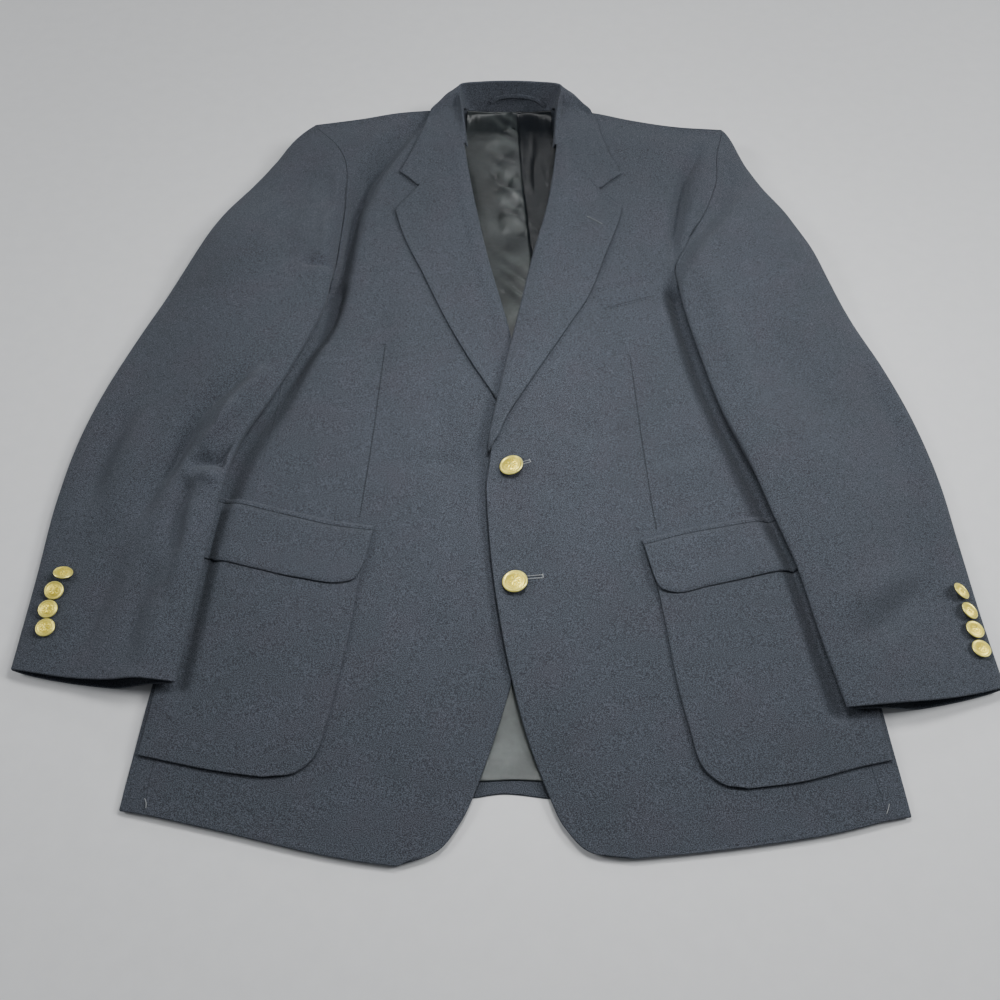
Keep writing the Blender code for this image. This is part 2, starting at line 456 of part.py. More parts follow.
def lapel(side):
    """Lapel: a short return inside the front, the roll over the crease, then the turned-out face."""
    v = np.array([0, 0.05, 0.11, 0.18, 0.26, 0.34, 0.42, 0.5, 0.58, 0.66, 0.74, 0.82, 0.9, 0.96, 1.0])
    first, last = LAPEL_SPAN[side]
    crease = along(FRONT_EDGE[side], first + (last - first) * v)
    edge = along(LAPEL_EDGE[side], v)
    u = np.array([0, 0.1, 0.22, 0.36, 0.5, 0.64, 0.76, 0.88, 1.0])
    low = crease[0] + (edge[0] - crease[0]) * u[:, None]
    top = straight(LAPEL_TOP[side], u)
    top[0] = crease[-1]
    face = patch(low, top, crease, edge, u, v)
    away = face[:, 1] - face[:, 0]
    away /= np.linalg.norm(away, axis=-1, keepdims=True)
    middle = front_z(crease[:, 0], crease[:, 1], side)
    rows = []
    for reach, lift in ((0.0080, -1.0), (0.0040, -1.0), (0.0018, -0.66), (0.0010, 0.0), (0.0018, 0.66)):
        level = middle + lift * FACE_LAYER
        rows.append(np.concatenate([crease + reach * away, level[:, None]], axis=-1))
    raised = on_front(face, side, FACE_LAYER)
    raised[:, 0, :2] = crease + 0.0040 * away
    return np.concatenate([np.stack(rows, axis=1), raised], axis=1)


def collar():
    """Collar: stand up from the neck seam, over the crease and down the fall."""
    s = np.array([0, 0.03, 0.07, 0.12, 0.16, 0.20, 0.24, 0.27, 0.30, 0.33, 0.36, 0.40, 0.45, 0.5,
                  0.55, 0.60, 0.64, 0.67, 0.70, 0.73, 0.76, 0.80, 0.84, 0.88, 0.93, 0.97, 1.0])
    neck, crease, fall, edge = (along(COLLAR[line], s) for line in ("neck", "crease", "fall", "edge"))
    stand = []
    for share in (0.0, 0.3, 0.62, 0.88):
        stand.append(neck + (crease - neck) * share)
    bend = np.stack(stand, axis=1)
    span = []
    for share in (0.14, 0.42, 0.72):
        span.append(crease + (fall - crease) * share)
    span.append(fall)
    for share in (0.5, 1.0):
        span.append(fall + (edge - fall) * share)
    falling = np.stack(span, axis=1)
    for side in (-1, 1):
        half = side * (s - 0.5) > 0
        plan = falling[half][..., :2]
        laid = on_front(plan, side, FACE_LAYER + 0.0002)
        share = ease((0.285 - (0.5 - np.abs(s[half] - 0.5))) / 0.05)[:, None, None]
        falling[half] = laid * share + falling[half] * (1 - share)
    return np.concatenate([bend, crease[:, None], falling], axis=1)


def support(x, y, soft):
    """Share and height of what a sleeve lies on: the body and its pocket, soft for the upper layer."""
    width = along(HALF_WIDTH, np.minimum(y, 0.55))[..., 0]
    across = ease((width + 0.036 + 0.045 * soft - np.abs(x)) / (0.045 + 0.045 * soft))
    up = ease((0.640 + 0.060 * soft - y) / (0.060 + 0.060 * soft))
    pad = FLAP_PAD * ease((0.350 + 0.090 * soft - y) / (0.035 + 0.085 * soft))
    height = along(HEIGHT, y)[..., 0] + 0.5 * CLOTH + SEAM + 0.0005 + pad
    return across * up, height


def armhole(side):
    """Front armhole from shoulder to inner fold as step, x, y, z, on the front's own rows."""
    step = np.array(FRONT_ROWS[ARMHOLE_ROW:])[::-1]
    plan = along(SIDE_EDGE[side], step)
    z = front_z(plan[:, 0], plan[:, 1], side)
    return np.column_stack([(1 - step) / (1 - step[-1]), plan[:, 0] + side * 3 * SEAM, plan[:, 1], z])


def sleeve_rings(side, columns, rows):
    """Rings of a flattened sleeve; a column is a layer, 1 upper or 0 lower, and a step across."""
    outer, inner = along(SLEEVE_OUTER[side], rows), along(SLEEVE_INNER[side], rows)
    thick = along(SLEEVE_THICK, rows)
    fade = 1 - ease(rows / 0.36)
    start, end = outer[0], inner[0]
    grid = []
    for upper, u in columns:
        plan = outer + (inner - outer) * u
        chord = start + (end - start) * u
        if upper:
            sewn = straight(armhole(side), u)
            seam, seam_z = sewn[:2], sewn[2] + (LAYER + SEAM) * ease((u - 0.80) / 0.15)
            quick = 1 - ease(rows / 0.085)
        else:
            sewn = straight(UNDERARM[side], u)
            seam = sewn[:2]
            quick = 1 - ease(rows / 0.045)
            plan[:, 0] += side * ARMPIT_PUSH * np.exp(-((u - 0.51) / 0.07) ** 2) * (
                ease(rows / 0.03) * (1 - ease((rows - 0.03) / 0.30)))
            share, height = support(seam[0], seam[1], 0.0)
            body = front_z(seam[0], seam[1], side) + LAYER + SEAM
            seam_z = FLOOR + sewn[2] * (max(share * height, body) - FLOOR)
            seam_z = seam_z + (straight(armhole(side), 0.0)[2] - FLOOR) * ease((0.10 - u) / 0.10)
        plan = plan + fade[:, None] * (seam - chord)
        plan[:, 1] -= CUFF_BOW * 4 * u * (1 - u) * ease((rows - 0.7) / 0.3)
        share, height = support(plan[:, 0], plan[:, 1], float(upper))
        low = FLOOR + share * height
        deep = thick[:, 0] * (1 - share) + thick[:, 1] * share
        round_off = np.sqrt(1 - np.abs(2 * u - 1) ** 3.5)
        z = low + 0.5 * deep * (1 + (round_off if upper else -round_off))
        z = z * (1 - quick) + seam_z * quick
        grid.append(np.stack([plan[:, 0], plan[:, 1], z], axis=-1))
    return np.stack(grid, axis=1)


ROWS = np.array([0, 0.025, 0.055, 0.09, 0.13, 0.175, 0.22, 0.27, 0.32, 0.37, 0.42, 0.48, 0.54, 0.60,
                 0.67, 0.74, 0.81, 0.88, 0.95, 1.0])


def sleeve_top(side):
    """Top sleeve, round both folds."""
    lower = [(0, u) for u in (0.09, 0.04, 0.012)]
    upper = [(1, u) for u in (0.0, 0.02, 0.0625, 0.146, 0.27, 0.417, 0.52, 0.625, 0.73, 0.833,
                              0.91, 0.96, 0.99)]
    turned = [(0, u) for u in (1.0, 0.985, 0.96)]
    return sleeve_rings(side, lower + upper + turned, ROWS)


def sleeve_under(side):
    """Under sleeve, between the two seams below."""
    lower = [(0, u) for u in (0.098, 0.19, 0.3, 0.42, 0.5, 0.54, 0.56, 0.59, 0.62, 0.65, 0.695, 0.74,
                              0.82, 0.89, 0.95)]
    return sleeve_rings(side, lower, ROWS)


def pocket(side):
    """Patch pocket on a front and its side panel."""
    u = np.array([0, 0.15, 0.3, 0.45, 0.6, 0.74, 0.82, 0.89, 0.95, 1.0])
    v = np.array([0, 0.06, 0.13, 0.22, 0.36, 0.52, 0.68, 0.84, 1.0])
    first = along(POCKET_FRONT[side], v)
    lower = along(POCKET_LOWER[side], u)
    upper = straight(FLAP_UPPER[side], u) - np.array([0.0, 0.010])
    upper += (1 - u[:, None]) * (first[-1] - upper[0])
    last_y = lower[-1, 1] + (upper[-1, 1] - lower[-1, 1]) * v
    last = np.stack([side * (along(HALF_WIDTH, last_y)[:, 0] - 0.0045), last_y], axis=-1)
    lower[-1], upper[-1] = last[0], last[-1]
    return on_front(patch(lower, upper, first, last, u, v), side, LAYER)


def flap(side):
    """Pocket flap, sewn above the pocket and lying on it."""
    u = np.array([0, 0.05, 0.12, 0.24, 0.38, 0.54, 0.7, 0.8, 0.88, 0.95, 1.0])
    v = np.array([0, 0.2, 0.45, 0.7, 0.84, 1.0])
    upper, lower = along(FLAP_UPPER[side], u), along(FLAP_LOWER[side], u)
    plan = lower[None] + (upper - lower)[None] * v[:, None, None]
    rim = np.stack([side * (along(HALF_WIDTH, plan[:, -1, 1])[:, 0] - 0.0045), plan[:, -1, 1]], axis=-1)
    plan = plan + u[None, :, None] ** 4 * (rim - plan[:, -1])[:, None]
    out = LAYER * (2 - ease((v - 0.80) / 0.20))[:, None]
    moved = [on_front(plan[k], side, out[k]) for k in range(len(v))]
    return np.stack(moved, axis=0)


def welt():
    """Breast pocket welt, laid on the left front."""
    u = np.linspace(0, 1, 6)[None, :, None]
    v = np.linspace(0, 1, 3)[:, None, None]
    a, b, c, d = (np.array(corner) for corner in WELT)
    plan = (1 - v) * ((1 - u) * a + u * b) + v * ((1 - u) * d + u * c)
    return on_front(plan, 1, LAYER)


def hanger_loop():
    """Loop of tape across the inside of the collar stand."""
    path = along(LOOP, np.linspace(0, 1, 13))
    slope = np.gradient(path, axis=0)
    slope /= np.linalg.norm(slope, axis=-1, keepdims=True)
    step = np.linspace(0.40, 0.64, 49)
    neck, crease = along(COLLAR["neck"], step), along(COLLAR["crease"], step)
    grid = []
    for share in (-0.5, 0.0, 0.5):
        x = path[:, 0] - slope[:, 1] * LOOP_WIDTH * share
        z = path[:, 1] + slope[:, 0] * LOOP_WIDTH * share
        y = []
        for k in range(len(x)):
            up = (z[k] - neck[:, 2]) / (crease[:, 2] - neck[:, 2])
            stand = neck + (crease - neck) * up[:, None]
            y.append(np.interp(x[k], stand[:, 0], stand[:, 1]) - LOOP_CLEAR)
        grid.append(np.stack([x, np.array(y), z], axis=-1))
    return np.stack(grid, axis=1)


def material(name, colour, metal, rough):
    """Principled material of one colour."""
    made = bpy.data.materials.new(name)
    made.use_nodes = True
    shader = made.node_tree.nodes["Principled BSDF"]
    shader.inputs["Base Color"].default_value = colour
    shader.inputs["Metallic"].default_value = metal
    shader.inputs["Roughness"].default_value = rough
    made.diffuse_color = colour
    return made


def cloth(name, grid, wall, colour, where):
    """Closed wall of cloth on both sides of a grid of middle points."""
    rows, columns = grid.shape[:2]
    points = grid.reshape(-1, 3) - np.array([MIDDLE_X, MIDDLE_Y, 0.0])
    faces = [(r * columns + c, r * columns + c + 1, (r + 1) * columns + c + 1, (r + 1) * columns + c)
             for r in range(rows - 1) for c in range(columns - 1)]
    mesh = bpy.data.meshes.new(name)
    mesh.from_pydata([tuple(p) for p in points], [], faces)
    mesh.update()
    piece = bpy.data.objects.new(name, mesh)
    where.objects.link(piece)
    mesh.materials.append(material(name + "_material", colour, 0.0, 0.9))
    mesh.shade_smooth()
    shell = piece.modifiers.new("wall", "SOLIDIFY")
    shell.thickness = wall
    shell.offset = 0.0
    shell.use_rim = True
    return piece


def fine_points(grid, parts):
    """Points of a grid with each of its cells divided into parts each way."""
    for axis in (0, 1):
        grid = np.moveaxis(grid, axis, 0)
        step = np.arange(0, 1, 1 / parts)[None, :, None, None]
        between = grid[:-1, None] * (1 - step) + grid[1:, None] * step
        grid = np.concatenate([between.reshape((-1,) + grid.shape[1:]), grid[-1:]])
        grid = np.moveaxis(grid, 0, axis)
    return grid.reshape(-1, 3)


def seat(x, y, radius, turn, below):
    """Height at which a leaning button's foot or rim just clears the cloth, from the cloth's points."""
    around = np.linspace(0, 2 * np.pi, 24, endpoint=False)
    scale = radius / FRONT_BUTTON_RADIUS
    heights = []
    for share, height in BUTTON_PROFILE[1:6]:
        for angle in around:
            across = share * radius
            point = turn @ Vector((across * np.cos(angle), across * np.sin(angle), height * scale))
            gap = np.hypot(below[:, 0] - x - point.x, below[:, 1] - y - point.y)
            heights.append(below[np.argmin(gap), 2] - point.z)
    return float(max(heights)) + 0.5 * CLOTH + SEAM


def button(name, x, y, radius, lean, steps, below, where):
    """Turned button on a shank, leaning on the cloth."""
    mesh = bpy.data.meshes.new(name)
    scale = radius / FRONT_BUTTON_RADIUS
    points = [(share * radius, 0.0, height * scale) for share, height in BUTTON_PROFILE]
    mesh.from_pydata(points, [(k, k + 1) for k in range(len(points) - 1)], [])
    piece = bpy.data.objects.new(name, mesh)
    where.objects.link(piece)
    mesh.materials.append(material(name + "_material", BRASS, 1.0, 0.3))
    turned = piece.modifiers.new("turned", "SCREW")
    turned.axis = "Z"
    turned.steps = steps
    turned.render_steps = steps
    turned.use_merge_vertices = True
    turned.merge_threshold = 0.00002
    turned.use_normal_flip = True
    turned.use_smooth_shade = True
    turn = Euler((np.radians(lean[0]), np.radians(lean[1]), 0.0))
    z = seat(x, y, radius, turn.to_matrix(), below)
    piece.location = Vector((x - MIDDLE_X, y - MIDDLE_Y, z))
    piece.rotation_euler = turn
    return piece


def build():
    for item in list(bpy.data.objects):
        bpy.data.objects.remove(item, do_unlink=True)
    blazer = bpy.data.collections.new("blazer")
    bpy.context.scene.collection.children.link(blazer)
    cloth("back", back(), CLOTH, WOOL, blazer)
    cloth("lining", lining(), LINING, SATIN, blazer)
    cloth("collar", collar(), FACING, WOOL, blazer)
    cloth("hanger_loop", hanger_loop(), TAPE, WOOL, blazer)
    cloth("breast_welt", welt(), CLOTH, WOOL, blazer)
    for side, name in ((-1, "right"), (1, "left")):
        cloth("front_" + name, front(side), CLOTH, WOOL, blazer)
        cloth("side_" + name, side_panel(side), CLOTH, WOOL, blazer)
        cloth("lapel_" + name, lapel(side), FACING, WOOL, blazer)
        cloth("pocket_" + name, pocket(side), CLOTH, WOOL, blazer)
        cloth("flap_" + name, flap(side), CLOTH, WOOL, blazer)
        cloth("sleeve_top_" + name, sleeve_top(side), CLOTH, WOOL, blazer)
        cloth("sleeve_under_" + name, sleeve_under(side), CLOTH, WOOL, blazer)
        cuff = fine_points(sleeve_top(side)[-8:, 3:10], 24)
        for k, (x, y, about_x, about_y) in enumerate(CUFF_BUTTONS[side]):
            called = "button_cuff_%s_%d" % (name, k + 1)
            button(called, x, y, CUFF_BUTTON_RADIUS, (about_x, about_y), 10, cuff, blazer)
    closing = fine_points(front(1)[4:12, :4], 24)
    for k, (x, y, about_x, about_y) in enumerate(FRONT_BUTTONS):
        called = "button_front_%d" % (k + 1)
        button(called, x, y, FRONT_BUTTON_RADIUS, (about_x, about_y), 16, closing, blazer)


build()
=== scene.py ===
"""Wool blazer laid flat on its back: each sewn piece is a wall of cloth made from its own outline.

Lengths are in metres. In the tables and the shape functions X runs from the garment's centre line,
Y from its hem and Z from the surface below, and side is -1 for the wearer's right half and 1 for
the left half.
"""

import bpy
import numpy as np
from mathutils import Euler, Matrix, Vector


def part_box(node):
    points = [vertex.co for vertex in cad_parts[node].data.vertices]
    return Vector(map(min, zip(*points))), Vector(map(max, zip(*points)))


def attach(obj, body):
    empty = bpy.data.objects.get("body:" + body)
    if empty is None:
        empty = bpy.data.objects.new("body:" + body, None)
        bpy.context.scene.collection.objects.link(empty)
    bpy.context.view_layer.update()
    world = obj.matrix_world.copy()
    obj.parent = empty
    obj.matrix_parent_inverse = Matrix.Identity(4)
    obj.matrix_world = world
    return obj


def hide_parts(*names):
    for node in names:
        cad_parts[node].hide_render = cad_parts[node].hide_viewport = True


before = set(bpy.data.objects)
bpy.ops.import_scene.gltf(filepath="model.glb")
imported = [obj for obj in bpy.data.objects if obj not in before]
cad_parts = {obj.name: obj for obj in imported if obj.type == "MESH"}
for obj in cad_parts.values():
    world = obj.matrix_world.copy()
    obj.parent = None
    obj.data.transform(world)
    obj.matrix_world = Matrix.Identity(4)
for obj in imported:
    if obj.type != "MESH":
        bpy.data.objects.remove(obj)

bl_info = {
    "name": "Wool blazer",
    "version": (1, 0, 0),
    "blender": (4, 5, 0),
    "location": "View3D > Sidebar > Blazer",
    "description": "Builds a wool blazer laid flat, with its lining, buttons and sewing",
    "category": "Mesh",
}

# thickness of the wool, the facings, the lining and the loop's tape, and the space in a seam
CLOTH = 0.0016
FACING = 0.0020
LINING = 0.0010
TAPE = 0.0012
SEAM = 0.0003
# height of the middle of a cloth over the one that it lies on
LAYER = CLOTH + SEAM + 0.0003
FACE_LAYER = 0.5 * (CLOTH + FACING) + SEAM + 0.0003
FLOOR = 0.5 * CLOTH
# middle of the blazer's outline, from the centre line and the hem
MIDDLE = np.array([-0.0073, 0.4312, 0.0])
SIDES = ((-1, "right"), (1, "left"))

# width of the rounding at a side fold, above and below, and the share of the height at the fold
SIDE_ROUND = 0.030
UNDER_ROUND = 0.008
FOLD_HALF = 0.5
# length over which the front turns to the shoulder seam, and the back up from the floor
SHOULDER_ROLL = 0.045
BACK_RISE = 0.030
BACK_BULGE = 0.0085

# how the right front sinks and the left one rises where they overlap and where the lapels break
OVERLAP_DROP = 0.0012
OVERLAP_LIFT = 0.0018
BREAK_LIFT = 0.0058
# how far the roll line lies inside the front's edge, and a flap's height under a sleeve
ROLL_INSET = 0.0035
FLAP_PAD = 0.0048

FRONT_BUTTON_RADIUS = 0.0105
CUFF_BUTTON_RADIUS = 0.0076


def table(*numbers):
    """Table of numbers: its first column is in thousandths, the others are in ten-thousandths."""
    made = np.array(numbers, float)
    made[:, 0] /= 1000
    made[:, 1:] /= 10000
    return made


# In these tables steps from 0 to 1 are in thousandths, lengths and shares in ten-thousandths.
# y in millimetres, half width of the body at its side folds
HALF_WIDTH = table(
    (0, 2880), (40, 2870), (80, 2845), (130, 2810), (200, 2730), (300, 2650), (400, 2620),
    (480, 2640), (550, 2690), (600, 2850), (660, 3200), (900, 3300))
# y in millimetres, height of the middle of a front's cloth
HEIGHT = table(
    (-10, 44), (50, 54), (100, 68), (200, 94), (300, 120), (450, 166), (600, 226), (700, 276),
    (760, 305), (800, 300), (900, 290))
# step from hem to shoulder, x, y of a front's edge: hem corner, closing edge, roll line, neck
FRONT_EDGE = {
    -1: table(
        (0, -840, -15), (30, -560, 85), (60, -400, 280), (100, -270, 570), (150, -130, 980),
        (200, -10, 1400), (280, 120, 2120), (380, 200, 2980), (470, 180, 3740), (530, 100, 4260),
        (600, 0, 4820), (740, -245, 5940), (870, -430, 7020), (940, -500, 7550),
        (1000, -560, 8120)),
    1: table(
        (0, 840, 35), (30, 540, 80), (60, 370, 245), (100, 250, 500), (150, 100, 920),
        (200, 0, 1320), (280, -130, 2050), (380, -210, 2900), (450, -220, 3440),
        (530, -130, 4080), (600, -25, 4620), (650, 50, 4990), (760, 230, 5930), (830, 370, 6520),
        (940, 510, 7490), (1000, 570, 8120)),
}
# step from hem to shoulder, x, y of a front's outer edge: the side seam, then the armhole
SIDE_EDGE = {
    -1: table(
        (0, -2690, 350), (100, -2670, 850), (200, -2510, 1600), (280, -2390, 2200),
        (380, -2240, 3010), (500, -2170, 4080), (600, -2145, 4850), (665, -2140, 5280),
        (700, -1960, 5310), (735, -1810, 5475), (760, -1755, 5720), (800, -1735, 6100),
        (850, -1720, 6630), (900, -1750, 7160), (950, -1870, 7480), (1000, -2165, 7870)),
    1: table(
        (0, 2700, 305), (100, 2620, 850), (200, 2500, 1600), (280, 2390, 2200), (380, 2260, 3010),
        (500, 2180, 4080), (600, 2150, 4850), (665, 2140, 5280), (700, 1940, 5310),
        (735, 1740, 5450), (760, 1640, 5640), (800, 1780, 6020), (850, 2020, 6480),
        (900, 2190, 6950), (950, 2240, 7350), (1000, 2355, 7785)),
}
# step from centre to side, x, y of a front's hem
HEM = {
    -1: table(
        (0, -840, -15), (200, -1150, 25), (400, -1480, 85), (700, -2100, 225), (1000, -2690, 350)),
    1: table(
        (0, 840, 35), (250, 1330, 80), (500, 1830, 140), (800, 2360, 225), (1000, 2700, 305)),
}
# step from neck to sleeve, x, y, z of the shoulder seam
SHOULDER = {
    -1: table(
        (0, -560, 8120, 295), (200, -880, 8110, 285), (430, -1250, 8080, 275),
        (670, -1630, 7980, 275), (1000, -2165, 7870, 275)),
    1: table(
        (0, 570, 8120, 295), (220, 970, 8060, 285), (420, 1320, 7960, 275),
        (710, 1840, 7835, 275), (1000, 2355, 7785, 275)),
}
# step from the nape to the shoulder, x, y, z, bulge of the back's neck seam
BACK_NECK = table(
    (0, 0, 8405, 90, 0), (130, 320, 8385, 105, 0), (240, 500, 8300, 180, 3000),
    (340, 580, 8135, 280, 8000))
# step at which the back's neck seam becomes its shoulder seam
NECK_SHARE = 0.34
# step across the back, x, y of its hem
BACK_HEM = table(
    (-1000, -2120, 430), (-500, -1100, 455), (-140, -310, 480), (0, -60, 510), (140, 270, 475),
    (500, 1100, 450), (1000, 2120, 430))
# step from hem to shoulder, x, y of the back's side seam and armhole
BACK_EDGE = {
    -1: table(
        (0, -2120, 430), (160, -2030, 1400), (320, -1950, 2600), (470, -1900, 3800),
        (600, -1930, 4800), (690, -2080, 5450), (770, -2280, 6000), (860, -2130, 6600),
        (940, -2080, 7200), (1000, -2110, 7570)),
    1: table(
        (0, 2120, 430), (160, 2030, 1400), (320, 1950, 2600), (470, 1900, 3800),
        (600, 1930, 4800), (690, 2080, 5450), (770, 2280, 6000), (860, 2160, 6600),
        (940, 2200, 7150), (1000, 2280, 7485)),
}
# steps of a front's side edge at the top of its side seam and at the end of its sewn armhole
SIDE_SEAM_TOP = 0.665
ARMHOLE_END = 0.76
# step along a lapel from break to gorge, x, y of its free edge
LAPEL_EDGE = {
    -1: table(
        (0, 80, 3720), (130, -30, 3900), (240, -145, 4110), (400, -380, 4530), (560, -620, 5020),
        (730, -860, 5600), (890, -1090, 6150), (1000, -1190, 6500)),
    1: table(
        (0, -120, 3640), (80, -40, 3850), (180, 140, 4190), (290, 330, 4530), (440, 580, 4990),
        (560, 755, 5320), (720, 925, 5800), (910, 1125, 6380), (1000, 1165, 6550)),
}
# step from crease to point, x, y of a lapel's top edge, past the notch
LAPEL_TOP = {
    -1: table(
        (0, -500, 7510), (660, -955, 6850), (1000, -1190, 6500)),
    1: table(
        (0, 510, 7490), (640, 930, 6800), (1000, 1165, 6550)),
}
# how far in the columns of a lapel's inner strip lie
LAPEL_STRIP = (0.0100, 0.0098, 0.0094, 0.0085, 0.0070, 0.0052, 0.0040)
# front edge steps at which a lapel breaks and meets the collar
LAPEL_SPAN = {-1: (0.470, 0.9350), 1: (0.452, 0.9395)}

# step round the collar, x, y, z of its neck seam, then of its crease, middle of the fall and
# free edge
COLLAR = table(
    (0, -468, 7535, 275, -485, 7535, 322, -955, 6880, 320, -1170, 7070, 320),
    (80, -488, 7750, 272, -503, 7760, 348, -880, 7320, 330, -1070, 7350, 325),
    (160, -508, 7950, 268, -523, 7970, 375, -800, 7760, 340, -980, 7640, 335),
    (230, -525, 8120, 272, -545, 8160, 395, -765, 8060, 350, -915, 7940, 340),
    (290, -515, 8220, 265, -565, 8330, 405, -730, 8260, 370, -860, 8120, 330),
    (350, -470, 8332, 165, -540, 8430, 415, -640, 8420, 330, -720, 8380, 220),
    (420, -280, 8393, 108, -320, 8460, 420, -400, 8560, 280, -440, 8590, 110),
    (500, 0, 8407, 94, 0, 8470, 425, 0, 8590, 270, 0, 8630, 80),
    (580, 280, 8393, 108, 320, 8460, 420, 400, 8560, 280, 440, 8590, 110),
    (650, 470, 8332, 165, 560, 8430, 415, 660, 8420, 330, 740, 8380, 220),
    (710, 515, 8220, 265, 585, 8330, 405, 750, 8260, 370, 885, 8110, 330),
    (770, 530, 8120, 272, 555, 8160, 395, 800, 8060, 350, 955, 7960, 340),
    (840, 513, 7950, 268, 530, 7970, 375, 820, 7760, 340, 990, 7680, 335),
    (920, 495, 7740, 272, 512, 7750, 348, 890, 7300, 330, 1075, 7350, 325),
    (1000, 478, 7515, 275, 495, 7515, 322, 930, 6830, 320, 1190, 7050, 320))

# depth, as a share, and half width of the hollow in a front beside its sleeve
HOLLOW_SHARE = 0.72
HOLLOW_WIDE = 0.0090
ELBOW_WIDER = 0.9

# step from shoulder to cuff, x, y of a sleeve's outer fold
SLEEVE_OUTER = {
    -1: table(
        (0, -2165, 7870), (40, -2390, 7650), (120, -2665, 7160), (210, -2960, 6600),
        (310, -3210, 5940), (390, -3380, 5470), (470, -3565, 4940), (590, -3810, 4110),
        (680, -3910, 3550), (760, -3945, 3020), (880, -3935, 2270), (1000, -3930, 1465)),
    1: table(
        (0, 2350, 7785), (30, 2435, 7640), (110, 2645, 7100), (190, 2860, 6570),
        (235, 2950, 6270), (280, 3055, 5980), (360, 3195, 5470), (420, 3310, 5080),
        (500, 3490, 4560), (610, 3670, 3820), (700, 3745, 3220), (790, 3760, 2620),
        (900, 3775, 1900), (1000, 3800, 1310)),
}
# step from armhole to cuff, x, y of a sleeve's inner fold
SLEEVE_INNER = {
    -1: table(
        (0, -1755, 5660), (50, -1760, 5440), (130, -1800, 5080), (200, -1890, 4790),
        (270, -2010, 4490), (380, -2190, 4040), (500, -2400, 3560), (620, -2490, 3050),
        (770, -2540, 2410), (900, -2570, 1790), (1000, -2600, 1315)),
    1: table(
        (0, 1635, 5600), (90, 1650, 5180), (160, 1700, 4860), (240, 1770, 4510),
        (380, 1910, 3860), (480, 2040, 3440), (630, 2200, 2800), (750, 2330, 2280),
        (850, 2400, 1800), (1000, 2520, 1110)),
}
# step from the shoulder round the underarm to the inner fold, x, y, share of the body's height
UNDERARM = {
    -1: table(
        (0, -2175, 7875, 0), (90, -2120, 7570, 0), (190, -2090, 7200, 0), (300, -2140, 6605, 0),
        (420, -2292, 6010, 0), (500, -2500, 5730, 0), (540, -2740, 5500, 0),
        (560, -2758, 5475, 3500), (590, -2725, 5440, 10000), (650, -2560, 5380, 10000),
        (740, -2350, 5305, 10000), (820, -2145, 5280, 10000), (900, -1962, 5310, 10000),
        (960, -1812, 5477, 10000), (1000, -1765, 5720, 10000)),
    1: table(
        (0, 2365, 7790, 0), (90, 2290, 7495, 0), (190, 2210, 7150, 0), (300, 2170, 6605, 0),
        (420, 2292, 6010, 0), (500, 2500, 5730, 0), (540, 2740, 5500, 0), (560, 2758, 5475, 3500),
        (590, 2725, 5440, 10000), (650, 2560, 5380, 10000), (740, 2350, 5305, 10000),
        (820, 2145, 5280, 10000), (900, 1942, 5310, 10000), (960, 1742, 5450, 10000),
        (1000, 1650, 5640, 10000)),
}
# step from shoulder to cuff, sleeve thickness beside the body, thickness on the body
SLEEVE_THICK = table(
    (0, 250, 140), (100, 270, 150), (250, 240, 145), (450, 190, 125), (700, 140, 100),
    (900, 115, 80), (1000, 120, 78))
# rough length of a sleeve, and steps across its lower layer: the top sleeve's first and last
# columns, and the under sleeve's beside its two seams
SLEEVE_LENGTH = 0.64
TOP_START = (0.09, 0.0895, 0.088, 0.085, 0.075, 0.06, 0.04, 0.024, 0.012, 0.005, 0.0015)
TOP_END = (0.9985, 0.995, 0.985, 0.972, 0.965, 0.962, 0.9605, 0.96)
UNDER_START = (0.098, 0.0985, 0.1, 0.104)
UNDER_END = (0.945, 0.948, 0.9495, 0.95)
# steps over which a sleeve keeps its armhole's outline, and its upper and lower layers turn into
# their seams; the power by which its section is rounded
OUTLINE_FADE = 0.36
UPPER_TURN = 0.085
LOWER_TURN = 0.045
SECTION_POWER = 3.5
# how far a cuff bows, and how far the underarm is pushed out
CUFF_BOW = 0.004
ARMPIT_PUSH = 0.016

# how far a pocket and its flap end inside the side fold
FOLD_INSET = 0.0045
# step up a pocket, x, y of its front edge, from the rounded corner
POCKET_FRONT = {
    -1: table(
        (0, -1860, 610), (80, -1630, 640), (150, -1500, 750), (250, -1430, 1000),
        (400, -1370, 1350), (600, -1310, 1800), (800, -1275, 2200), (1000, -1240, 2620)),
    1: table(
        (0, 1710, 525), (80, 1530, 560), (150, 1400, 680), (250, 1330, 980), (400, 1270, 1330),
        (600, 1230, 1760), (800, 1190, 2140), (1000, 1140, 2520)),
}
# step from front to side, x, y of a pocket's lower edge
POCKET_LOWER = {
    -1: table(
        (0, -1860, 610), (400, -2250, 665), (750, -2600, 735), (1000, -2800, 780)),
    1: table(
        (0, 1710, 525), (400, 2130, 580), (750, 2530, 680), (1000, 2800, 740)),
}
# step from front to side, x, y of a flap's sewn edge and of its free edge
FLAP_UPPER = {
    -1: table(
        (0, -1170, 2740), (250, -1510, 2790), (500, -1840, 2875), (1000, -2580, 3080)),
    1: table(
        (0, 1090, 2600), (250, 1440, 2705), (500, 1830, 2785), (1000, 2580, 2930)),
}
FLAP_LOWER = {
    -1: table(
        (0, -1245, 2330), (60, -1300, 2235), (130, -1390, 2200), (350, -1750, 2240),
        (600, -2060, 2310), (1000, -2660, 2470)),
    1: table(
        (0, 1160, 2240), (60, 1200, 2150), (130, 1290, 2110), (350, 1620, 2170),
        (600, 2020, 2265), (1000, 2660, 2430)),
}
# corner x, y of the breast welt: lower inner, lower outer, upper outer, upper inner
WELT = ((0.0860, 0.5150), (0.1510, 0.5370), (0.1400, 0.5560), (0.0790, 0.5340))

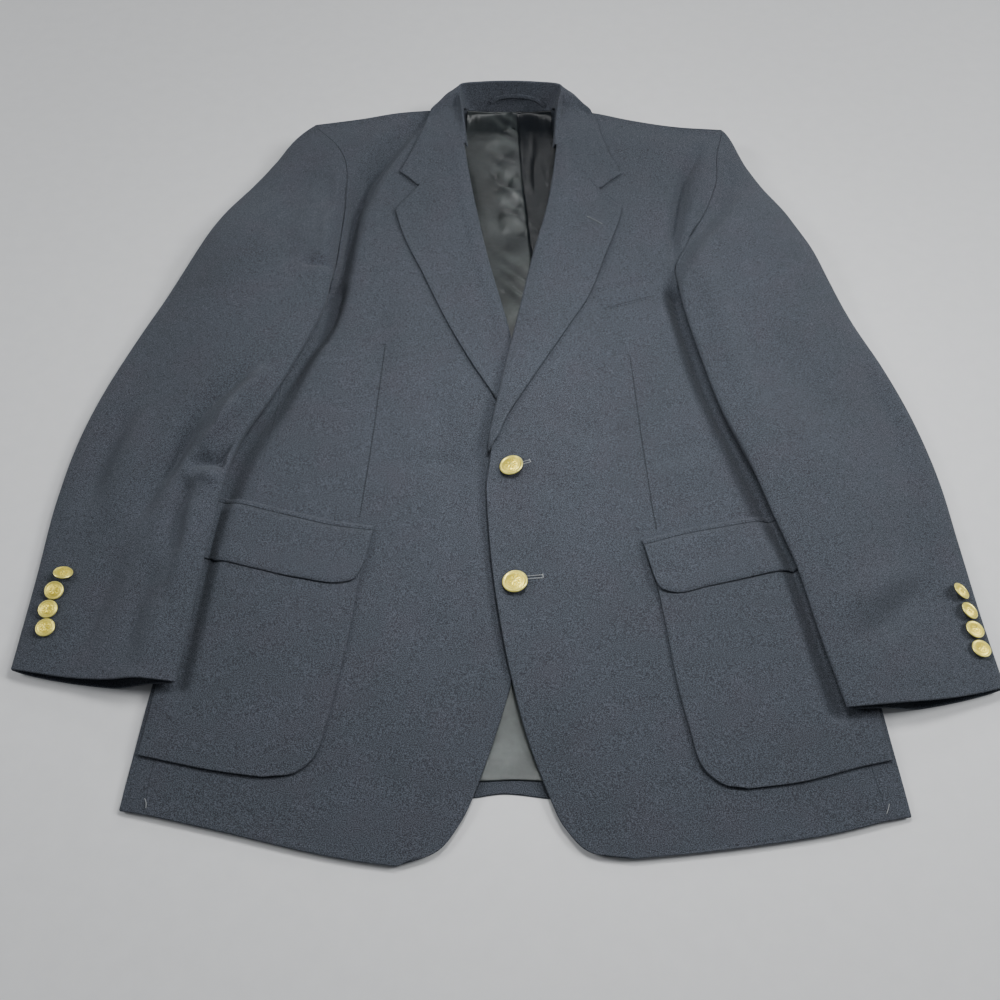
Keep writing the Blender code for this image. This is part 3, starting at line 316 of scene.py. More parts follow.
# leaning about X and about Y in degrees of each button
FRONT_LEAN = ((-4.0, -14.0), (-4.0, -8.0))
CUFF_LEAN = {-1: ((-24.0, 14.0), (16.0, 4.0), (8.0, 4.0), (4.0, 2.0)),
             1: ((-10.0, 30.0), (-6.0, 24.0), (-4.0, 12.0), (-4.0, 6.0))}
# step along the hanger loop, x, z
LOOP = table(
    (0, -210, 200), (200, -120, 258), (450, 70, 280), (700, 270, 258), (880, 360, 215),
    (1000, 405, 180))
LOOP_CLEAR = 0.5 * (FACING + TAPE) + SEAM + 0.0005
LOOP_BOW = 0.0012

# shares of a button's radius at which its face has rings, and share, height of its dome
BUTTON_STEPS = (0.0, 0.04, 0.08, 0.13, 0.18, 0.23, 0.28, 0.33, 0.38, 0.43, 0.48, 0.53, 0.58, 0.62,
                0.66, 0.69, 0.72, 0.75, 0.79, 0.83, 0.87, 0.91, 0.95, 0.98, 1.0)
BUTTON_DOME = ((0.0, 0.0054), (0.45, 0.0050), (0.80, 0.0040), (0.93, 0.0044), (1.0, 0.0036))
# share, height from the rim under the button to the foot of its shank
BUTTON_UNDER = ((1.0, 0.0034), (0.985, 0.0030), (0.93, 0.0026), (0.60, 0.0022), (0.26, 0.0020),
                (0.20, 0.0018), (0.20, 0.0008), (0.20, 0.0001), (0.16, 0.0))
# depth of a dart, lift of the back's edge at the nape, distance of each stitched line from its edge
DART_DEPTH = 0.0005
NAPE_LIFT = 0.0014
POCKET_STITCH = 0.0062
FLAP_STITCH = 0.0055
WELT_STITCH = 0.0016

BLACK, WHITE = (0.0, 0.0, 0.0, 1.0), (1.0, 1.0, 1.0, 1.0)
THREADS = {"pale_thread": (0.34, 0.36, 0.37), "grey_thread": (0.11, 0.125, 0.14)}
# name, place, turn in degrees, width and share of the main light's power of each lamp
LAMPS = (
    ("overhead", (0.07, -0.05, 0.54), (0.0, 0.0, 0.0), 0.20, 0.88),
    ("right", (1.75, 0.05, 1.35), (0.0, 52.0, 0.0), 0.70, 10.0),
    ("left", (-1.75, 0.05, 1.35), (0.0, -52.0, 0.0), 0.70, 5.5),
    ("top", (0.10, 1.70, 1.00), (-60.0, 0.0, 0.0), 0.6, 2.0),
)
# camera in the garment's own place, and how far it looks down in degrees
CAMERA_AT = (-0.010585, -0.167655, 0.737)
CAMERA_DOWN = 57.1


def along(rows, t):
    """Values at each t of the smooth curve through rows, whose first column is the parameter."""
    rows = np.asarray(rows, float)
    knots, values = rows[:, 0], rows[:, 1:]
    t = np.clip(np.asarray(t, float), knots[0], knots[-1])
    step = np.diff(knots)[:, None]
    chord = np.diff(values, axis=0) / step
    slope = np.empty_like(values)
    slope[0] = chord[0]
    slope[-1] = chord[-1]
    slope[1:-1] = (chord[:-1] * step[1:] + chord[1:] * step[:-1]) / (step[1:] + step[:-1])
    i = np.clip(np.searchsorted(knots, t, side="right") - 1, 0, len(knots) - 2)
    h = step[i]
    s = ((t - knots[i])[..., None]) / h
    return ((1 + 2 * s) * (1 - s) ** 2 * values[i] + s * (1 - s) ** 2 * h * slope[i]
            + s ** 2 * (3 - 2 * s) * values[i + 1] + s ** 2 * (s - 1) * h * slope[i + 1])


def ease(s):
    """Smooth step from 0 to 1 over s from 0 to 1."""
    s = np.clip(s, 0.0, 1.0)
    return s * s * (3.0 - 2.0 * s)


def bell(gap, wide):
    """Bell curve: 1 where gap is nothing, falling as e to the minus square of gap over wide."""
    return np.exp(-(gap / wide) ** 2)


def straight(rows, t):
    """Values at each t of the broken line through rows, whose first column is the parameter."""
    rows = np.asarray(rows, float)
    return np.stack([np.interp(t, rows[:, 0], column) for column in rows[:, 1:].T], axis=-1)


def patch(near, far, first, last, u, v):
    """Grid of points between four edges: near and far run with u, first and last with v."""
    u = u[None, :, None]
    v = v[:, None, None]
    near, far = near[None], far[None]
    first, last = first[:, None], last[:, None]
    corners = ((1 - u) * (1 - v) * near[:, :1] + u * (1 - v) * near[:, -1:]
               + (1 - u) * v * far[:, :1] + u * v * far[:, -1:])
    return (1 - v) * near + v * far + (1 - u) * first + u * last - corners


def shoulder_at(x, side):
    """y and z of the shoulder seam over x."""
    seam = SHOULDER[side][np.argsort(SHOULDER[side][:, 1])]
    return np.interp(x, seam[:, 1], seam[:, 2]), np.interp(x, seam[:, 1], seam[:, 3])


def beside_sleeve(x, y, side):
    """Share by which a front sinks beside its sleeve: a bell of the distance from the sleeve's
    inner fold, wider beside the right elbow."""
    fold = along(SLEEVE_INNER[side], np.linspace(0.05, 1.0, 60))
    x, y = np.asarray(x), np.asarray(y)
    gap = (x[..., None] - fold[:, 0]) ** 2 + (y[..., None] - fold[:, 1]) ** 2
    wide = HOLLOW_WIDE * (1 + ELBOW_WIDER * (side < 0) * bell(y - 0.375, 0.055))
    return HOLLOW_SHARE * np.exp(-gap.min(axis=-1) / wide ** 2)


def front_z(x, y, side):
    """Height of the middle of the cloth of a front, or of the side panel's upper layer."""
    height, width = along(HEIGHT, y)[..., 0], along(HALF_WIDTH, y)[..., 0]
    closed = ease((y - 0.060) / 0.060)
    if side < 0:
        drop = OVERLAP_DROP * ease((0.060 + x) / 0.060) * closed
        height = height - drop * ease((0.52 - y) / 0.06)
    else:
        broken = ease((y - 0.300) / 0.055) * ease((0.575 - y) / 0.080)
        lift = OVERLAP_LIFT * (1 - broken) * ease((0.60 - y) / 0.10) + BREAK_LIFT * broken
        height = height + lift * ease((0.090 - side * x) / 0.060) * closed
    inside = np.clip((width - np.abs(x)) / SIDE_ROUND, 0.0, 1.0)
    fold = FLOOR + FOLD_HALF * (height - FLOOR)
    height = fold + (height - fold) * np.sqrt(1 - (1 - inside) ** 2)
    height = FLOOR + (height - FLOOR) * (1 - beside_sleeve(x, y, side))
    seam_y, seam_z = shoulder_at(x, side)
    return height + (seam_z - height) * ease((y - seam_y + SHOULDER_ROLL) / SHOULDER_ROLL)


def on_front(plan, side, out):
    """Points of plan on a front, moved out along its normal."""
    x, y = plan[..., 0], plan[..., 1]
    step = 0.0005
    z = front_z(x, y, side)
    dx = (front_z(x + step, y, side) - front_z(x - step, y, side)) / (2 * step)
    dy = (front_z(x, y + step, side) - front_z(x, y - step, side)) / (2 * step)
    long = np.sqrt(1 + dx ** 2 + dy ** 2)
    return np.stack([x - out * dx / long, y - out * dy / long, z + out / long], axis=-1)


# space between a panel's points, width of a cloth's rounded edge, reach of a seam past its line
# and of the lapel over the collar at the gorge
GRID_GAP = 0.0030
EDGE_TURN = 0.0010
SEAM_REACH = 0.0006
GORGE_LAP = 0.0018
# rough width and length of each piece, which with the gap set how many points it has
SIZE = {
    "front": (0.235, 0.80), "back": (0.45, 0.76), "lining": (0.20, 0.75),
    "lapel": (0.090, 0.40), "collar": (0.38, 0.075), "pocket": (0.16, 0.20),
    "flap": (0.16, 0.055), "welt": (0.066, 0.022), "loop": (0.0045, 0.066),
}
SIDE_LENGTH = 0.53
# what the left front's edge presses into the right one, and what it stands up by
UNDER_EDGE_DENT = 0.0022
EDGE_LIFT = 0.0013

# by piece and side: depth (troughs below zero) and half width in tenths of a millimetre, then x, y
# of each point along the crease in millimetres
CREASES = {
    ("front", 1): (
        (-95, 62, 208, 750, 199, 730, 187, 703, 177, 664, 169, 626, 162, 580),
        (42, 70, 218, 740, 203, 690, 190, 645, 176, 600), (-22, 240, 60, 560, 120, 600, 160, 640),
        (-25, 140, 141, 481, 165, 444, 180, 400), (-20, 110, 124, 336, 147, 352, 176, 366),
        (20, 130, 118, 318, 150, 330, 180, 338), (-17, 120, 20, 400, 60, 375, 100, 365),
        (20, 160, 6, 318, 30, 290, 36, 240), (-24, 42, 70, 533.5, 92, 541, 118, 550.5, 150, 560),
        (-15, 180, 30, 170, 70, 220, 85, 300)
    ),
    ("front", -1): (
        (-175, 100, -92, 800, -115, 773, -135, 736, -150, 706, -163, 656, -170, 597, -174, 545,
         -180, 480),
        (-31, 160, -122, 540, -129, 490, -129, 430), (25, 160, -100, 540, -104, 480, -102, 420),
        (-34, 140, -68, 420, -54, 345, -50, 270), (-22, 120, -30, 330, -70, 345, -100, 335),
        (-14, 200, -60, 140, -90, 220, -90, 300)
    ),
    ("sleeve", -1): (
        (-100, 58, -282, 328, -272, 333, -258, 333, -240, 324),
        (-80, 46, -240, 352, -250, 342, -256, 334), (71, 70, -246, 392, -256, 366, -272, 346),
        (54, 62, -282, 314, -266, 317, -246, 308),
        (-95, 95, -240, 430, -269, 402, -284, 383, -294, 355, -304, 318),
        (75, 100, -222, 434, -245, 398, -262, 362),
        (-75, 95, -276, 382, -295, 342, -307, 314, -318, 276),
        (-88, 88, -262, 328, -279, 312, -283, 284, -280, 240),
        (51, 80, -268, 292, -268, 250, -272, 200), (-71, 110, -348, 400, -362, 345, -368, 290),
        (44, 130, -328, 400, -338, 340, -340, 270), (-44, 100, -322, 250, -336, 200, -344, 150),
        (-41, 90, -292, 240, -300, 200, -304, 150), (41, 110, -280, 200, -282, 160, -286, 136),
        (-61, 46, -208, 566, -192, 563, -176, 560),
        (58, 100, -183, 730, -178, 660, -180, 600, -190, 550),
        (-51, 140, -215, 560, -232, 610, -225, 670, -212, 720)
    ),
    ("sleeve", 1): (
        (51, 120, 186, 590, 196, 520, 205, 450, 222, 370),
        (-51, 120, 190, 610, 214, 640, 232, 690, 237, 735),
        (-41, 240, 235, 480, 262, 430, 282, 370), (-48, 160, 330, 460, 345, 380, 342, 300),
        (-61, 110, 262, 158, 294, 180, 313, 197, 345, 220),
        (44, 110, 262, 190, 290, 208, 325, 236)
    ),
    ("under", -1): (
        (20, 160, -250, 520, -300, 440, -330, 370),
    ),
    ("under", 1): (
        (20, 160, 250, 520, 290, 440, 320, 370),
    ),
    ("lining", 0): (
        (27, 101, -40, 800, -24, 790, -8, 800), (-36, 72, -20, 782, -6, 768, 4, 762),
        (38, 75, -12, 756, 0, 746, 7, 750), (-47, 84, -18, 736, -6, 722, 4, 730, 10, 722),
        (45, 72, -14, 706, 0, 698, 12, 704), (-36, 61, -10, 688, 4, 680, 14, 686),
        (32, 67, -12, 668, 4, 660, 16, 664), (-27, 58, -6, 646, 8, 640, 18, 646),
        (31, 130, -38, 770, -32, 710, -18, 640), (-27, 87, -22, 700, -14, 660, -6, 610),
        (32, 80, 26, 820, 22, 760, 24, 700), (-27, 65, 34, 800, 30, 740, 28, 680),
        (-18, 14, -24, 66.5, -20, 69, -8, 72.5, 4, 73), (23, 72, -30, 72, -14, 79, 6, 80),
        (20, 87, -18, 110, -4, 132, 4, 150)
    ),
}
# x, y along each dart, from its upper point to the pocket
DARTS = {-1: ((-0.1200, 0.4750), (-0.1240, 0.3850), (-0.1280, 0.3210), (-0.1305, 0.2830)),
         1: ((0.1120, 0.4610), (0.1165, 0.3600), (0.1200, 0.2940), (0.1220, 0.2710))}
# name, half width, x, y of each end of a buttonhole, the outer end last
BUTTONHOLES = (("lower", 0.0013, (0.0110, 0.2250), (0.0245, 0.2262)),
               ("upper", 0.0011, (0.0075, 0.3355), (0.0155, 0.3378)))
LAPEL_HOLE = ((0.0790, 0.6405), (0.0950, 0.6290))
# x, y of each end of a loose tack of thread at the hem
TACKS = {-1: ((-0.2700, 0.0460), (-0.2675, 0.0385)), 1: ((0.2725, 0.0420), (0.2690, 0.0345))}


def steps(length, gap, edge=EDGE_TURN):
    """Steps from 0 to 1 along a length, evenly gap apart and closer where the edge turns."""
    count = max(int(np.ceil(length / gap)), 3)
    near = np.array([0.0, 0.12, 0.38, 0.7]) * edge / length
    inner = np.linspace(edge / length, 1 - edge / length, count)
    return np.concatenate([near, inner, 1 - near[::-1]])


def smooth_across(grid, t):
    """Grid with each row drawn again as a smooth curve through its points, at steps t."""
    across = np.moveaxis(grid, 1, 0)
    knots = np.linspace(0, 1, len(across))
    rows = np.column_stack([knots, across.reshape(len(across), -1)])
    return np.moveaxis(along(rows, t).reshape((len(t),) + across.shape[1:]), 0, 1)


def line_gap(plan, line):
    """Signed distance of each point of plan from a broken line, and the length run along it."""
    line = np.asarray(line, float)
    best = np.full(plan.shape[:-1], 1e3)
    signed, run = best.copy(), np.zeros(plan.shape[:-1])
    done = 0.0
    for a, b in zip(line[:-1], line[1:]):
        step = b - a
        long = np.linalg.norm(step)
        t = np.clip(((plan - a) @ step) / long ** 2, 0, 1)
        off = plan - (a + t[..., None] * step)
        gap = np.linalg.norm(off, axis=-1)
        side = np.where(step[0] * off[..., 1] - step[1] * off[..., 0] < 0, -1.0, 1.0)
        near = gap < best
        best = np.where(near, gap, best)
        signed = np.where(near, gap * side, signed)
        run = np.where(near, done + t * long, run)
        done += long
    ends = (run <= 0) | (run >= done)
    return np.where(ends, best + 0.004, signed), run, done


def creased(middle, piece, side):
    """Cloth with its creases: a bell across each crease's line, fading toward its two ends as a
    half sine wave to the power 0.6."""
    plan = middle[..., :2]
    lift = np.zeros(plan.shape[:-1])
    for depth, wide, *line in CREASES[piece, side]:
        gap, run, whole = line_gap(plan, np.reshape(line, (-1, 2)) / 1000)
        fade = np.sin(np.pi * np.clip(run / whole, 0.02, 0.98)) ** 0.6
        lift += depth / 10000 * bell(gap, wide / 10000) * fade
    made = middle.copy()
    made[..., 2] += lift
    return made


def waves(plan, size, seed):
    """Slow uneven swell: three sine waves of unlike length and direction, of size at most."""
    x, y = plan[..., 0], plan[..., 1]
    return size * (np.sin(31 * x + 17 * y + seed) * np.sin(23 * y - 9 * x + 2 * seed)
                   + 0.5 * np.sin(57 * x - 41 * y + 3 * seed)) / 1.5


def border(grid):
    """Distance of a grid's points from its first and last column and its first and last row."""
    across = np.linalg.norm(np.diff(grid, axis=1), axis=-1)
    up = np.linalg.norm(np.diff(grid, axis=0), axis=-1)
    first = np.concatenate([np.zeros((len(grid), 1)), np.cumsum(across, axis=1)], axis=1)
    low = np.concatenate([np.zeros((1, grid.shape[1])), np.cumsum(up, axis=0)], axis=0)
    return first, first[:, -1:] - first, low, low[-1:] - low


def front(side, gap=GRID_GAP):
    """Front panel: a patch between its hem, shoulder, closing edge and side edge, on the front's
    height, with a swell, a turned edge, what the overlap presses, and the creases."""
    u, v = (steps(size, gap) for size in SIZE["front"])
    edge = along(FRONT_EDGE[side], v)
    edge[:, 0] += side * ROLL_INSET * ease((v - LAPEL_SPAN[side][0] + 0.05) / 0.05)
    shoulder = along(SHOULDER[side], u)[:, :2]
    shoulder[:, 0] += (1 - u) * (edge[-1, 0] - shoulder[0, 0])
    plan = patch(along(HEM[side], u), shoulder, edge, along(SIDE_EDGE[side], v), u, v)
    x, y = plan[..., 0], plan[..., 1]
    middle = np.concatenate([plan, front_z(x, y, side)[..., None]], axis=-1)
    first, last, low, high = border(middle)
    rim = np.minimum(first, low)
    inner = np.minimum.reduce([first, last, low, high])
    middle[..., 2] += 0.0004 * bell(rim - 0.0035, 0.0022) * ease(inner / 0.003)
    middle[..., 2] += waves(plan, 0.0007, 1.3 + side) * ease(inner / 0.030)
    if side < 0:
        other = along(FRONT_EDGE[1], np.linspace(0.05, 0.75, 60))
        off = ((x[..., None] - other[:, 0]) ** 2 + (y[..., None] - other[:, 1]) ** 2).min(axis=-1)
        beside = np.exp(-off / 0.0075 ** 2) * ease((y - 0.10) / 0.06) * ease((0.50 - y) / 0.08)
        middle[..., 2] -= UNDER_EDGE_DENT * beside * ease(inner / 0.004)
    else:
        closing = ease((y - 0.10) / 0.08) * ease((0.345 - y) / 0.03)
        middle[..., 2] += EDGE_LIFT * closing * np.exp(-first / 0.010)
    pressed = creased(middle, "front", side)
    lowest = np.minimum(middle[..., 2], FLOOR + 1.5 * CLOTH + LINING + 2 * SEAM)
    pressed[..., 2] = np.maximum(pressed[..., 2], lowest)
    keep = ease(inner / 0.004)[..., None]
    return middle * (1 - keep) + pressed * keep


def side_panel(side, gap=GRID_GAP):
    """Underarm panel: from the front seam over the upper layer, a quarter of a circle round the
    side fold, and along the floor to the back seam."""
    v = steps(SIDE_LENGTH, gap)
    seam_x, seam_y = along(SIDE_EDGE[side], v * SIDE_SEAM_TOP).T
    seam_x = side * seam_x + 2 * SEAM
    fold_y = seam_y + 0.003 + 0.014 * v
    back_y = seam_y + 0.008 + 0.063 * v
    width = along(HALF_WIDTH, fold_y)[:, 0]
    edge = BACK_EDGE[side]
    back_x = side * np.interp(back_y, edge[:, 2], edge[:, 1]) + 2 * SEAM
    columns = []

    def add(x, y, z):
        columns.append(np.stack([side * x, y, z], axis=-1))

    for turn in np.concatenate([[0, 0.002, 0.006, 0.012], np.linspace(0.02, 1.0, 26)]):
        y = fold_y + (seam_y - fold_y) * (1 - np.sin(0.5 * np.pi * turn))
        x = width - (width - seam_x) * (1 - np.sin(0.5 * np.pi * turn))
        add(x, y, front_z(side * x, y, side))
    height = columns[-1][:, 2]
    for share in (0.04, 0.10, 0.2, 0.3, 0.45, 0.62, 0.8, 1.0):
        x = width - share * UNDER_ROUND
        lift = (1 - np.sqrt(1 - (1 - share) ** 2)) if share < 1 else 0.0
        add(x, fold_y + (back_y - fold_y) * (width - x) / (width - back_x),
            FLOOR + lift * (height - FLOOR))
    for share in np.concatenate([np.linspace(0.12, 0.985, 14), [0.99, 0.995, 1.0]]):
        x = (width - UNDER_ROUND) * (1 - share) + back_x * share
        add(x, fold_y + (back_y - fold_y) * (width - x) / (width - back_x), FLOOR + 0 * x)
    return np.stack(columns, axis=1)


def rise(seam_y, seam_z, bulge, reach, floor, q):
    """y and z at steps q of cloth that leaves the floor and turns up to a seam, a cubic curve."""
    a, b, c, d = (1 - q) ** 3, 3 * (1 - q) ** 2 * q, 3 * (1 - q) * q ** 2, q ** 3
    y = a * (seam_y - reach) + b * (seam_y + bulge) + c * (seam_y + 1.2 * bulge) + d * seam_y
    z = a * floor + b * floor + c * (floor + 0.6 * (seam_z - floor)) + d * seam_z
    return y, z


def back_top(u):
    """x, y, z and bulge of the back's neck and shoulder seams at steps u from -1 to 1."""
    u = np.asarray(u, float)
    neck = along(BACK_NECK, np.abs(u))
    neck[:, 0] *= np.sign(u)
    share = np.clip((np.abs(u) - NECK_SHARE) / (1 - NECK_SHARE), 0, 1)
    sewn = np.where((u < 0)[:, None], along(SHOULDER[-1], share), along(SHOULDER[1], share))
    sewn = sewn + np.array([0.0, 8 * SEAM, -2 * SEAM])
    bulge = along(((0.0, 0.8), (0.15, 1.0), (0.8, 1.0), (1.0, 0.5)), share)
    return np.where((np.abs(u) > NECK_SHARE)[:, None], np.concatenate([sewn, bulge], axis=-1), neck)


def back(gap=0.0045):
    """Back panel, flat on the floor and turned up to the shoulder and neck seams."""
    u, v = (steps(size, gap) for size in SIZE["back"])
    u, v = 2 * u - 1, np.append(v[v < 0.9995], 1.0)
    top = back_top(u)
    shelf = np.stack([top[:, 0], top[:, 1] - BACK_RISE], axis=-1)
    left, right = straight(BACK_EDGE[-1], v), straight(BACK_EDGE[1], v)
    shelf[0], shelf[-1] = left[-1], right[-1]
    plan = patch(along(BACK_HEM, u), shelf, left, right, 0.5 * (u + 1), v)
    rows = [np.concatenate([plan, np.full(plan.shape[:2] + (1,), FLOOR)], axis=-1)]
    for q in np.concatenate([np.linspace(0, 1, 16)[1:-1], [0.975, 0.99, 0.997, 1.0]]):
        y, z = rise(top[:, 1], top[:, 2], BACK_BULGE * top[:, 3], BACK_RISE, FLOOR, q)
        x = shelf[:, 0] + (top[:, 0] - shelf[:, 0]) * q
        rows.append(np.stack([x, y, z], axis=-1)[None])
    return np.concatenate(rows, axis=0)


# y, x of the lining's pleat as it is laid, and of the line along which its painted shade and light
# are placed
PLEAT_LINE = ((0.45, 0.597, 0.721, 0.851), (0.026, 0.0205, 0.0118, 0.0070))
PLEAT_LIGHT = ((0.30, 0.597, 0.721, 0.851), (0.060, 0.0205, 0.0118, 0.0070))
# height of the lining's pleat, its puckers and the gathers at its neck
PLEAT_DEPTH = 0.0052
PUCKER_DEPTH = 0.0020
GATHER_DEPTH = 0.0009


def puckers(off, y):
    """Sine wave across the puckers beside the lining's pleat, bent by a second sine wave."""
    return np.sin(190 * (y + 0.9 * off) + 2.6 * np.sin(47 * y + 90 * off) + 1.1)


def lining(gap=0.0018):
    """Back lining: flat on the back, with the centre pleat as a lap, a slow bell on one side and a
    steep one on the other, puckers beside it, and the top turned up to the neck and gathered."""
    u = 2 * steps(SIZE["lining"][0], gap) - 1
    y = steps(SIZE["lining"][1], 0.0034)
    hem = 0.0610 - 0.004 * np.abs(u)
    top = back_top(0.235 * u)
    half = 0.100 - 0.0505 * ease((y - 0.70) / 0.30)
    start = top[:, 1] - BACK_RISE - 0.002
    flat_y = hem[None] + (start - hem)[None] * y[:, None]
    flat_x = u[None] * half[:, None]
    level = FLOOR + 0.5 * (CLOTH + LINING) + SEAM
    off = flat_x - np.interp(flat_y, *PLEAT_LINE)
    lap = np.where(off < 0, bell(off, 0.026), bell(off, 0.0018))
    shown = ease((flat_y - 0.40) / 0.20)
    lift = PLEAT_DEPTH * lap * shown
    uneven = 0.6 + 0.4 * np.sin(71 * flat_y)
    lift += PUCKER_DEPTH * puckers(off, flat_y) * uneven * bell(off + 0.012, 0.017) * shown
    lift += 0.0006 * np.sin(250 * flat_x + 90 * flat_y) * ease(off / 0.004) * shown
    lift += 0.0016 * (1 + np.sin(70 * flat_x + 30 * flat_y)) * ease(np.abs(flat_x) / 0.05) * shown
    flat = creased(np.stack([flat_x, flat_y, level + np.maximum(lift, 0.0)], axis=-1), "lining", 0)
    flat[..., 2] = np.maximum(flat[..., 2], level)
    hem_gap = flat_y - hem[None]
    flat[..., 2] += 0.0012 * bell(hem_gap - 0.004, 0.003)
    rows = [flat]
    last = flat[-1, :, 2] - level
    x = u * half[-1]
    gather = np.sin(330 * u * half[-1] + 2.0 * np.sin(150 * u * half[-1]))
    gather = gather * (0.5 + 0.5 * np.sin(83 * u * half[-1]))
    for q in np.concatenate([np.linspace(0, 1, 18)[1:-1], [0.97, 0.99, 0.997, 1.0]]):
        rise_y, rise_z = rise(top[:, 1] - 0.0024, top[:, 2] - 0.0005, 0 * u, BACK_RISE, level, q)
        out = np.maximum(GATHER_DEPTH * gather * np.sin(np.pi * q), 0)
        rows.append(np.stack([x * (1 - 0.04 * q), rise_y - out, rise_z + (1 - q) * last + out],
                             axis=-1)[None])
    return np.concatenate(rows, axis=0)


def satin_light(middle):
    """How light the satin is, as painted light and shade: painted shade past the pleat, fading out
    toward the hem, and painted light toward the hem, along the ridges of the puckers beside the
    pleat, each a sine wave inside a bell, and in a patch left of the pleat half a metre up."""
    x, y = middle[..., 0], middle[..., 1]
    off = x - np.interp(y, *PLEAT_LIGHT)
    lit = 1 - ease(off / 0.0016) * 0.92 * ease((y - 0.20) / 0.20)
    lit += ease((0.60 - y) / 0.30)
    lit += 0.55 * puckers(off, y) * bell(off + 0.014, 0.018) * ease((y - 0.40) / 0.10)
    return lit + 0.8 * (off < 0) * bell(y - 0.50, 0.07) * bell(off + 0.01, 0.02)


def lapel(side, gap=0.0022):
    """Lapel: a strip inside the front, a half circle round the crease, then the face laid on the
    front, a patch whose top laps the collar along the gorge."""
    v = steps(SIZE["lapel"][1], gap)
    first, last = LAPEL_SPAN[side]
    crease = along(FRONT_EDGE[side], first + (last + 0.0080 - first) * v)
    edge = along(LAPEL_EDGE[side], v)
    away = edge - crease
    away /= np.linalg.norm(away, axis=-1, keepdims=True)
    round_in = FACE_LAYER + 0.0010
    begin = crease + round_in * away
    u = np.append(0.0, steps(SIZE["lapel"][0], gap)[4:])
    low = begin[0] + (edge[0] - begin[0]) * u[:, None]
    top = straight(LAPEL_TOP[side], u)
    top += (1 - u)[:, None] * (begin[-1] - top[0])
    gorge = ease(u / 0.08) * (1 - ease((u - 0.54) / 0.10))
    lap = np.array([side * (top[9, 1] - top[-1, 1]), side * (top[-1, 0] - top[9, 0])])
    top += GORGE_LAP * gorge[:, None] * lap / np.linalg.norm(lap)
    face = patch(low, top, begin, edge, u, v)
    middle = front_z(crease[:, 0], crease[:, 1], side)
    taper = 0.3 + 0.7 * ease(v / 0.05)
    turned = [(reach + 0 * v, middle - FACE_LAYER) for reach in LAPEL_STRIP]
    turned += [(round_in - FACE_LAYER * taper * np.sin(turn), middle - FACE_LAYER * np.cos(turn))
               for turn in np.linspace(0, np.pi, 13)[:-1]]
    strip = np.stack([np.concatenate([crease + reach[:, None] * away, level[:, None]], axis=-1)
                      for reach, level in turned], axis=1)
    raised = on_front(face, side, FACE_LAYER)
    raised[:, 0] = np.concatenate([begin, (middle + FACE_LAYER)[:, None]], axis=-1)
    first, last, low, high = border(raised)
    high = high + 0.02 * gorge
    rim = np.minimum(last, high)
    inner = np.minimum(rim, low)
    swell = 0.0005 * bell(rim - 0.004, 0.0025) * ease(inner / 0.002)
    swell += waves(face, 0.0006, 4.0 + side) * ease(inner / 0.012) * ease(first / 0.012)
    swell += 0.0016 * bell(first - 0.010, 0.010) * ease(first / 0.004)
    raised[..., 2] += swell + 0.0002 * gorge * bell(high - 0.02 * gorge, 0.006)
    return np.concatenate([strip, raised], axis=1)


def collar(gap=0.0020):
    """Collar: smooth curves from the neck seam up the stand, over the crease and down the fall,
    whose two ends are laid on the fronts."""
    s = steps(SIZE["collar"][0], gap)
    neck, crease, fall, edge = np.split(along(COLLAR, s), 4, axis=1)
    bend = np.stack([neck + (crease - neck) * share for share in (0.0, 0.3, 0.62, 0.88)], axis=1)
    span = [crease + (fall - crease) * share for share in (0.14, 0.42, 0.72, 1.0)]
    span += [fall + (edge - fall) * share for share in (0.5, 1.0)]
    falling = np.stack(span, axis=1)
    for side in (-1, 1):
        half = side * (s - 0.5) > 0
        laid = on_front(falling[half][..., :2], side, FACE_LAYER + 0.0002)
        share = ease((0.285 - (0.5 - np.abs(s[half] - 0.5))) / 0.05)[:, None, None]
        falling[half] = laid * share + falling[half] * (1 - share)
    points = np.concatenate([bend, crease[:, None], falling], axis=1)
    made = smooth_across(points, steps(SIZE["collar"][1], gap))
    made[:, 0, 2] -= 0.0016
    first, last, low, high = border(made)
    inner = np.minimum.reduce([first, last, low, high])
    made[..., 2] += 0.0004 * bell(last - 0.004, 0.0025) * ease(inner / 0.002)
    made[..., 2] += waves(made[..., :2], 0.0004, 7.0) * ease(inner / 0.010)
    return made


def support(x, y, soft):
    """Share and height of what a sleeve lies on, the body and its pocket: a product of smooth
    steps across and up, wider where soft is 1, for the upper layer."""
    width = along(HALF_WIDTH, np.minimum(y, 0.55))[..., 0]
    across = ease((width + 0.036 + 0.045 * soft - np.abs(x)) / (0.045 + 0.045 * soft))
    up = ease((0.640 + 0.060 * soft - y) / (0.060 + 0.060 * soft))
    pad = FLAP_PAD * ease((0.350 + 0.090 * soft - y) / (0.035 + 0.085 * soft))
    height = along(HEIGHT, y)[..., 0] + 0.5 * CLOTH + SEAM + 0.0005 + pad
    return across * up, height


def armhole(side):
    """Front armhole from shoulder to inner fold as step, x, y, z."""
    step = np.linspace(1.0, ARMHOLE_END, 60)
    plan = along(SIDE_EDGE[side], step)
    z = front_z(plan[:, 0], plan[:, 1], side)
    x = plan[:, 0] + side * 3 * SEAM
    return np.column_stack([(1 - step) / (1 - step[-1]), x, plan[:, 1], z])


